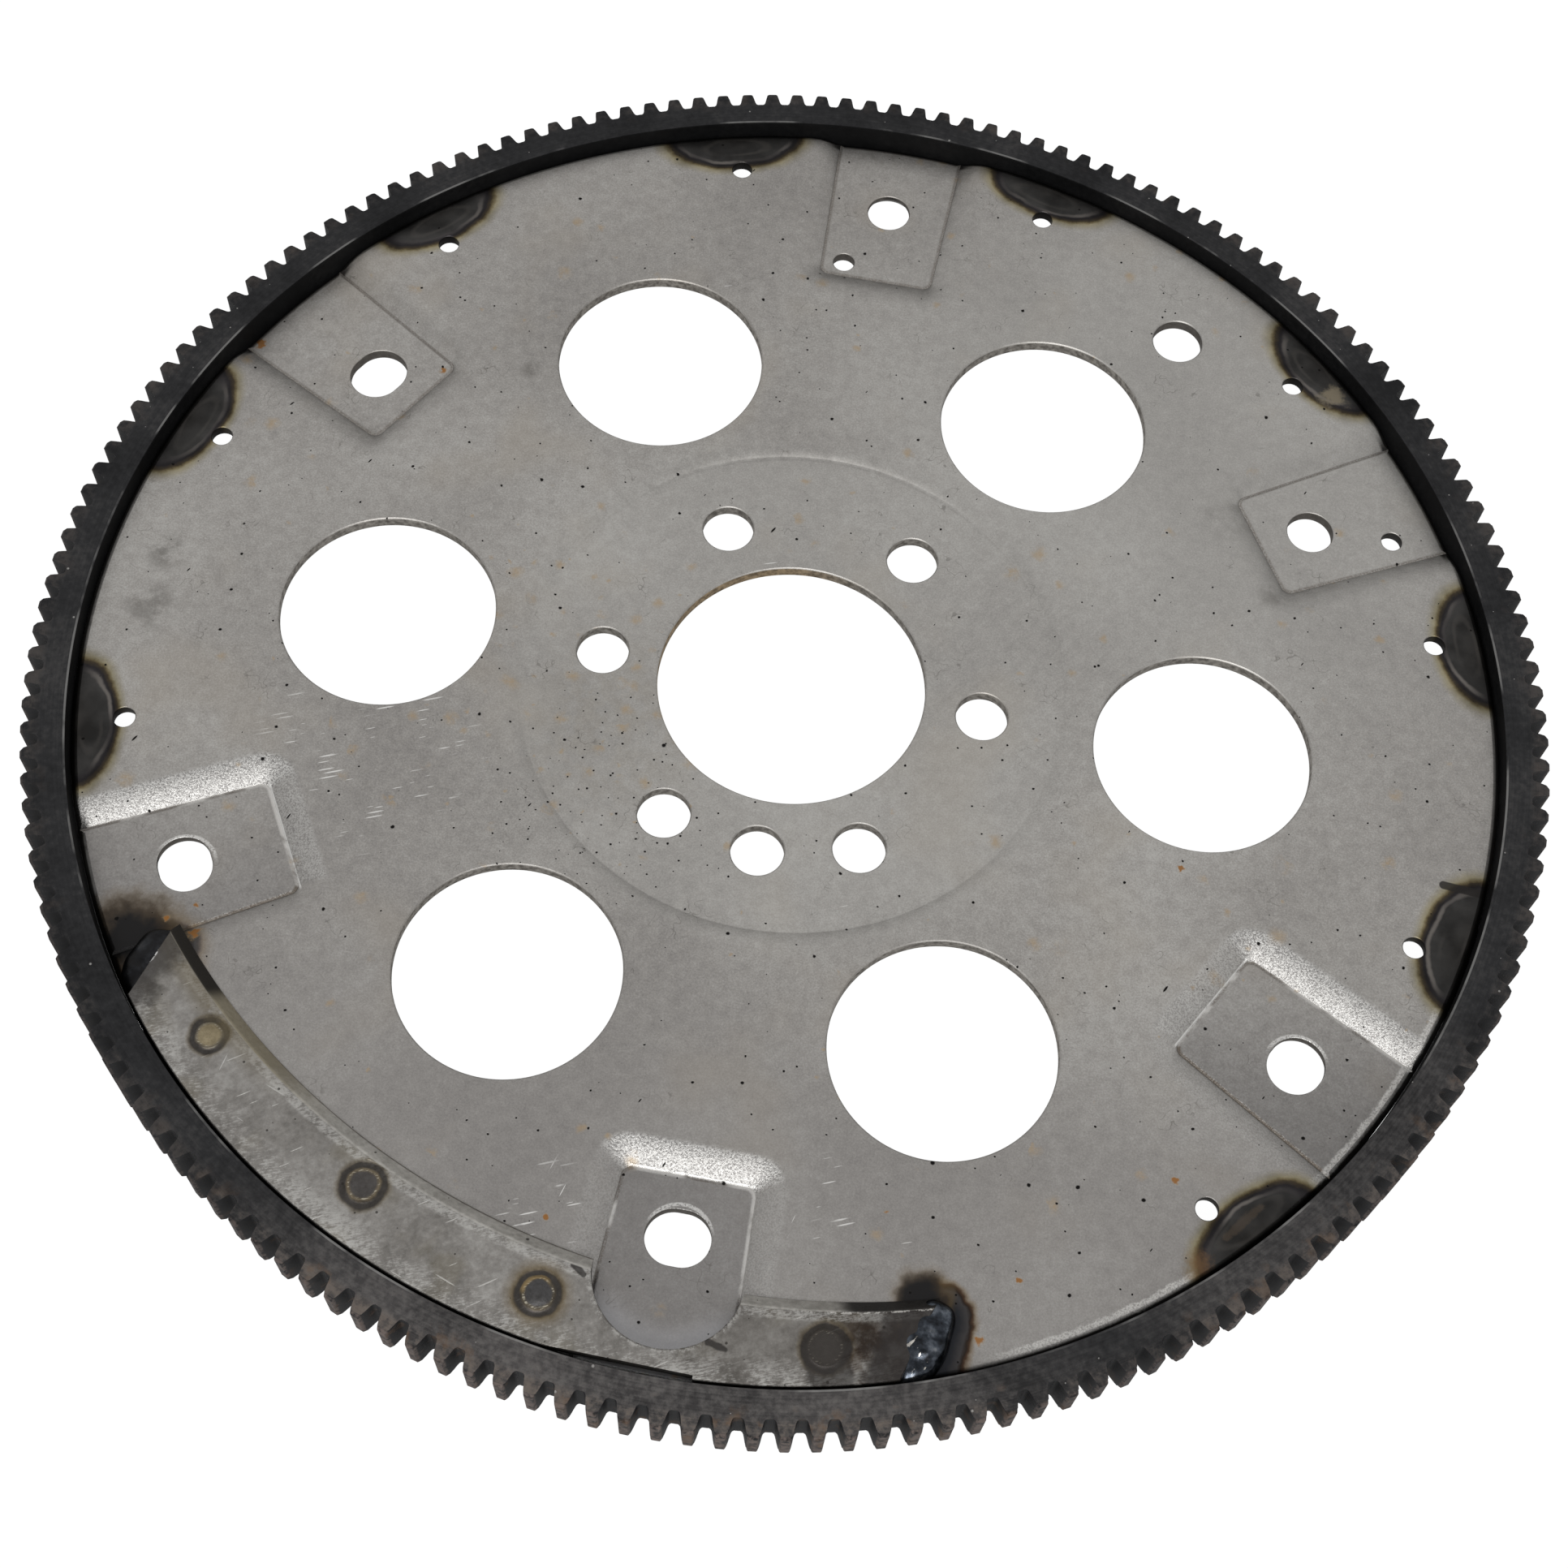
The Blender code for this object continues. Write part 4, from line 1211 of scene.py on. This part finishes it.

# %% [markdown]
# ## Ring gear
#
# The ring was hardened, which left it black. Turning marks run round its face, handling wore the
# tips of the teeth, and brown has started between them, mostly on the lower side. The lower face is
# also lighter, partly as painted light for the lighter reflection it takes there. The bore wall is
# painted dark as shade, with a painted highlight along its top edge. The walls of the teeth stay
# dull and dark even where they are seen at a slant.

# %% Ring gear material
ring_steel, shader, g, where = new_steel("black_gear_steel", 0.55, tint=0.3, level=0.3)
x, y, _ = g.split(where)
radius = (x * x + y * y).function("SQRT")
cloud = g.noise(where, 20, detail=4.0)
grain = g.noise(where, 1.6, detail=4.0, rough=0.65)
turned = g.line_noise(radius, 0.5)
facing = g.normal()[2]
level = g.smooth(facing, 0.9, 0.97)
lower_side = g.smooth(y, -138, -172).higher(near(g, x, y, 171, 322, 62, 30) * 0.5)
tone = 0.5 * cloud + 0.4 * grain + 0.1 * turned
base = g.ramp(tone, tones((0.38, 31, 31, 32), (0.52, 43, 43, 44), (0.66, 60, 59, 59)))
# Lighter grey on the lower face: partly wear, partly painted light.
lower_face_wear_and_sheen = g.smooth(0.2 * turned + 0.5 * cloud + 0.3 * grain, 0.2, 0.7)
wear_and_sheen_tone = g.ramp(grain, tones((0.4, 82, 79, 78), (0.62, 98, 95, 93)))
base = g.blend(lower_side * level * lower_face_wear_and_sheen * 0.9, base, wear_and_sheen_tone)
# Painted shade: the bore wall is darkened nearly to black.
bore_shade = g.smooth(facing, 0.5, 0.2) * g.smooth(radius, 168.4, 167.9)
base = g.lay(base, bore_shade * 0.7, 12, 12, 12)
teeth = g.smooth(radius, 173.2, 175.6)
worn = teeth * level * g.smooth(grain * 0.5 + cloud * 0.5, 0.42, 0.6)
base = g.lay(base, worn * (0.15 + 0.5 * lower_side), 104, 94, 86)
tips = g.smooth(radius, 177.0, 177.6) * (1 - level)
base = g.lay(base, tips * g.smooth(grain, 0.35, 0.6) * (0.2 + 0.4 * lower_side), 120, 108, 102)
rust = g.smooth(g.noise(where, 5, detail=4.0), 0.56, 0.68) * g.smooth(radius, 170.5, 174.0)
base = g.lay(base, rust * (0.04 + 0.4 * lower_side), 96, 74, 54)
nicks = g.dots(where, 6, 0.1, 0.3, 0.14)
base = g.lay(base, nicks * level * 0.7, 150, 148, 145)
# Painted highlight, broken up, along the top edge of the bore.
edge = between(g, radius, 167.75, 168.2, 0.12) * g.smooth(facing, 0.5, 0.8) * g.smooth(cloud, 0.48, 0.6)
base = g.lay(base, edge * 0.45, 140, 139, 137)
rough = 0.36 + 0.2 * grain + 0.15 * (1 - level)
skin = g.bump(grain, 0.05, 0.4)
skin = g.bump(turned, 0.015, 0.4 * level, skin)
skin = g.bump(1 - nicks, 0.08, 0.5, skin)
connect(g, shader, Base_Color=base, Roughness=rough, Normal=skin)
finish_piece(ring, ring_steel, ["ring_gear"])

# %% [markdown]
# ## Balance weight
#
# The strip is older, darker stock: smeared, scratched along its edges and scorched at both ends.
# Each weld spot has its own pair of colours, core and collar, and all sit in a dark ring.

# %% Weight material
weight_steel, shader, g, where = new_steel("rubbed_weight_steel", 0.85)
x, y, _ = g.split(where)
radius = (x * x + y * y).function("SQRT")
facing = g.normal()[2]
cloud = g.noise(where, 14, detail=5.0, rough=0.65)
mottle = g.noise(shifted(g, where, 60, 5), 5, detail=4.0, rough=0.65)
grain = g.noise(where, 1.1, detail=4.0, rough=0.7)
smear = g.noise(g.stretched(where, 38, 6), 1.0, detail=3.0, rough=0.6)
tone = 0.38 * cloud + 0.27 * mottle + 0.25 * grain + 0.1 * smear
base = g.ramp(tone, tones((0.36, 96, 93, 89), (0.5, 127, 124, 120), (0.64, 156, 154, 150)))
olive = g.smooth(g.noise(where, 13, detail=3.0), 0.5, 0.68)
base = g.lay(base, olive * 0.35, 106, 99, 82)
wobble = g.noise(where, 3.5, detail=4.0) - 0.5
stains = g.ramp(0.5 * grain + 0.5 * mottle, ((0.36, (0.62, 0.58, 0.52)), (0.62, (1.25, 1.22, 1.18))))

dim = near(g, x, y, 160, 277.5, 26, 12)
base = g.blend(dim, base, (0.72, 0.71, 0.7), kind="MULTIPLY")
grimy = g.smooth(flat_distance(x, y, 158, 289) + 8 * wobble, 25, 13) * g.smooth(mottle, 0.28, 0.62)
base = g.blend(grimy, base, (0.3, 0.26, 0.23), kind="MULTIPLY")

# Worn edges, lighter partly from rubbing and partly as a painted highlight: the outer edge, the top
# of the leaning inner edge and the notch.
inner_gap = flat_distance(x, y, -INNER_ARC_BACK / MM, WEIGHT_ANGLE) - INNER_ARC / MM
notch_gap = (flat_distance(x, y, NOTCH_CENTRE, 270) - NOTCH_RADIUS).function("ABSOLUTE")
hatch = g.noise(g.stretched(where, 22, 6), 0.35, detail=3.0, rough=0.7)
rub_tone = 0.35 * cloud + 0.25 * grain + 0.4 * hatch
outer_rub_and_highlight = g.smooth(radius, 159.0, 166.5) * g.smooth(rub_tone, 0.46, 0.58)
inner_rub_and_highlight = between(g, inner_gap, 0.3, 1.6, 0.8) * g.smooth(0.5 * hatch + 0.5 * grain, 0.42, 0.56)
notch_rub_and_highlight = g.smooth(notch_gap, 1.6, 0.5) * g.smooth(grain, 0.45, 0.6)
rub_and_highlight = (outer_rub_and_highlight * 0.8).higher(inner_rub_and_highlight * 0.6).higher(notch_rub_and_highlight * 0.6)
lines = scratch_lines(g, where, 35, 2.0, 0.5)
lines = lines.higher(scratch_lines(g, shifted(g, where, 7, 3), -20, 3.2, 0.35))
lines = lines.higher(scratch_lines(g, shifted(g, where, 3, 8), 80, 4.0, 0.3))
base = g.lay(base, rub_and_highlight.higher(lines * 0.9) * 0.55, 200, 199, 195)

# Core and collar of each spot
SPOT_COLOURS = (
    (srgb(132, 122, 98), srgb(98, 92, 80)),
    (srgb(64, 62, 62), srgb(104, 94, 76)),
    (srgb(58, 58, 60), srgb(74, 67, 54)),
    (srgb(84, 80, 76), srgb(72, 67, 62)),
)
RING_BLACK = srgb(48, 45, 43)
for (spot_radius, degrees, size), (core, collar) in zip(SPOTS, SPOT_COLOURS):
    reach = flat_distance(x, y, spot_radius, degrees) / size + 1.5 * wobble
    colours = ((0.0, core), (0.27, core), (0.34, collar), (0.4, RING_BLACK), (0.5, RING_BLACK))
    halo = tones((0.56, 84, 76, 62), (0.66, 124, 114, 92))
    spotted = g.blend(0.85, g.ramp(reach / 10, colours + halo), stains, kind="MULTIPLY")
    base = g.blend(g.smooth(reach, 6.6, 5.0) * 0.92, base, spotted)
    glint = between(g, reach, 3.15, 3.35, 0.2) * g.smooth(hatch, 0.52, 0.6)
    base = g.lay(base, glint * 0.6, 186, 180, 164)
spot_reach = flat_distance(x, y, *SPOTS[2][:2]) + 1.2 * wobble
upper_left = near(g, x, y, 153.9, 259.5, 5.0, 3.4)
base = g.lay(base, between(g, spot_reach, 3.2, 3.6, 0.4) * upper_left * 0.55, 150, 128, 88)
for nick_start, nick_end in (((149.3, 262.4), (150.6, 263.4)), ((159.0, 273.9), (160.2, 275.2))):
    nick = line_distance(x, y, nick_start, nick_end) + 1.4 * wobble
    base = g.lay(base, g.smooth(nick, 0.9, 0.5) * 0.85, 44, 41, 40)
straw = g.smooth(spot_reach, 8.5, 5.5) * g.smooth(spot_reach, 4.5, 5.5)
base = g.lay(base, straw * 0.4, 108, 92, 62)
run_off = g.smooth(line_distance(x, y, (160.5, 282.7), (169.0, 283.0)) + 2.5 * wobble, 5.6, 4.2)
base = g.lay(base, run_off * 0.8, 52, 49, 47)
baked = g.smooth(flat_distance(x, y, 160, 286.6) + 9 * wobble, 10.0, 4.0)
base = g.blend(baked * g.smooth(mottle, 0.36, 0.6) * 0.9, base, (0.36, 0.28, 0.22), kind="MULTIPLY")

# Scorch at both ends, black along the leaning edge beside them.
along_left = flat_distance(x, y, 153, 217)
along_right = flat_distance(x, y, 149, 290)
leaning = g.smooth(inner_gap, 0.15, -0.25)
brown = g.smooth(along_left, 50, 24) * g.smooth(cloud, 0.4, 0.55) * g.smooth(inner_gap, 6, 1)
base = g.lay(base, brown * 0.6, 98, 88, 66)
for start, end, spread, depth in (
    ((153.8, 216.8), (168.3, 220.4), 7.0, 0.75),
    ((152.2, 290.6), (166.5, 287.6), 10.5, 0.9),
):
    reach = line_distance(x, y, start, end) / spread + 1.1 * wobble + 0.5 * (mottle - 0.5)
    base = g.lay(base, g.smooth(reach, 1.1, 0.35) * depth, 48, 45, 44)
black = g.smooth(along_left, 20, 15).higher(g.smooth(along_right, 18, 13))
lean_tone = g.ramp(0.5 * grain + 0.5 * mottle, tones((0.4, 162, 159, 153), (0.6, 192, 189, 183)))
base = g.blend(leaning * 0.85, base, lean_tone)
olive_edge = g.smooth(along_left, 60, 34) * leaning
base = g.lay(base, olive_edge * 0.8, 128, 119, 96)
# Painted shade: a dark line at the foot of the leaning edge, where the strip meets the sheet.
foot_shade = g.smooth(inner_gap, -2.75, -3.1) * leaning
base = g.lay(base, foot_shade * 0.8, 74, 68, 60)
base = g.lay(base, leaning * black * 0.95, 30, 28, 27)
chips = between(g, inner_gap, 0.0, 0.2, 0.2) * g.smooth(along_right, 30, 18) * g.smooth(grain, 0.48, 0.56)
base = g.lay(base, chips * 0.7, 196, 193, 188)
sliver = g.smooth(line_distance(x, y, (157.8, 217.7), (162.9, 218.7)) + 1.5 * wobble, 0.9, 0.4)
base = g.lay(base, sliver * g.smooth(grain, 0.42, 0.52) * 0.9, 222, 221, 220)
specks = g.dots(where, 4.5, 0.12, 0.36, 0.25)
base = g.lay(base, specks * 0.8, 40, 37, 34)
sheared = g.smooth(facing, 0.5, 0.25)
base = g.lay(base, sheared * 0.7, 66, 62, 58)
rough = 0.33 + 0.22 * grain
face = g.bump(grain, 0.1, 0.6)
face = g.bump(mottle, 0.2, 0.5, face)
face = g.bump(g.smooth(spot_reach, 4.2, 0.5), 0.7, 1.0, face)
face = g.bump(lines, 0.05, 0.5, face)
connect(g, shader, Base_Color=base, Roughness=rough, Normal=face)
finish_piece(weight, weight_steel, ["balance_weight"])

# %% [markdown]
# ## Weld metal
#
# A bead cools glassy and blue-black. It stays smooth, so it takes sharp reflections of the softbox.
# The right one has painted highlights at its crown, and the left one lies under soot.

# %% Weld metal
weld_metal, shader, g, where = new_steel("dark_weld_metal", 0.95)
x, y, _ = g.split(where)
cloud = g.noise(where, 3.2, detail=2.0)
grain = g.noise(where, 0.6, detail=3.0)
WELD_COLOURS = tones(
    (0.36, 28, 29, 31),
    (0.5, 50, 54, 60),
    (0.6, 80, 85, 92),
    (0.72, 122, 124, 126),
)
base = g.ramp(0.8 * cloud + 0.2 * grain, WELD_COLOURS)
glint = g.smooth(flat_distance(x, y, 163.2, 288.8) + 3 * (cloud - 0.5), 5.0, 3.0)
glint = glint * g.smooth(g.noise(g.stretched(where, 60, 2.2), 1.3, detail=3.0), 0.57, 0.62)
base = g.lay(base, glint * 0.8, 226, 221, 212)
sooty = g.smooth(x, -60, -100)
base = g.lay(base, sooty * 0.85, 30, 29, 29)
rough = 0.1 + 0.16 * grain + 0.15 * sooty
slag = g.bump(cloud, 0.3, 0.35)
slag = g.bump(grain, 0.03, 0.3, slag)
connect(g, shader, Base_Color=base, Roughness=rough, Normal=slag)
finish_piece(left_bead, weld_metal, ["weight_weld_left"], sharp=60)
finish_piece(right_bead, weld_metal, ["weight_weld_right"], sharp=60)
for number, bead in enumerate(stitches, start=1):
    finish_piece(bead, weld_metal, [f"stitch_weld_{number:02d}"], sharp=50)
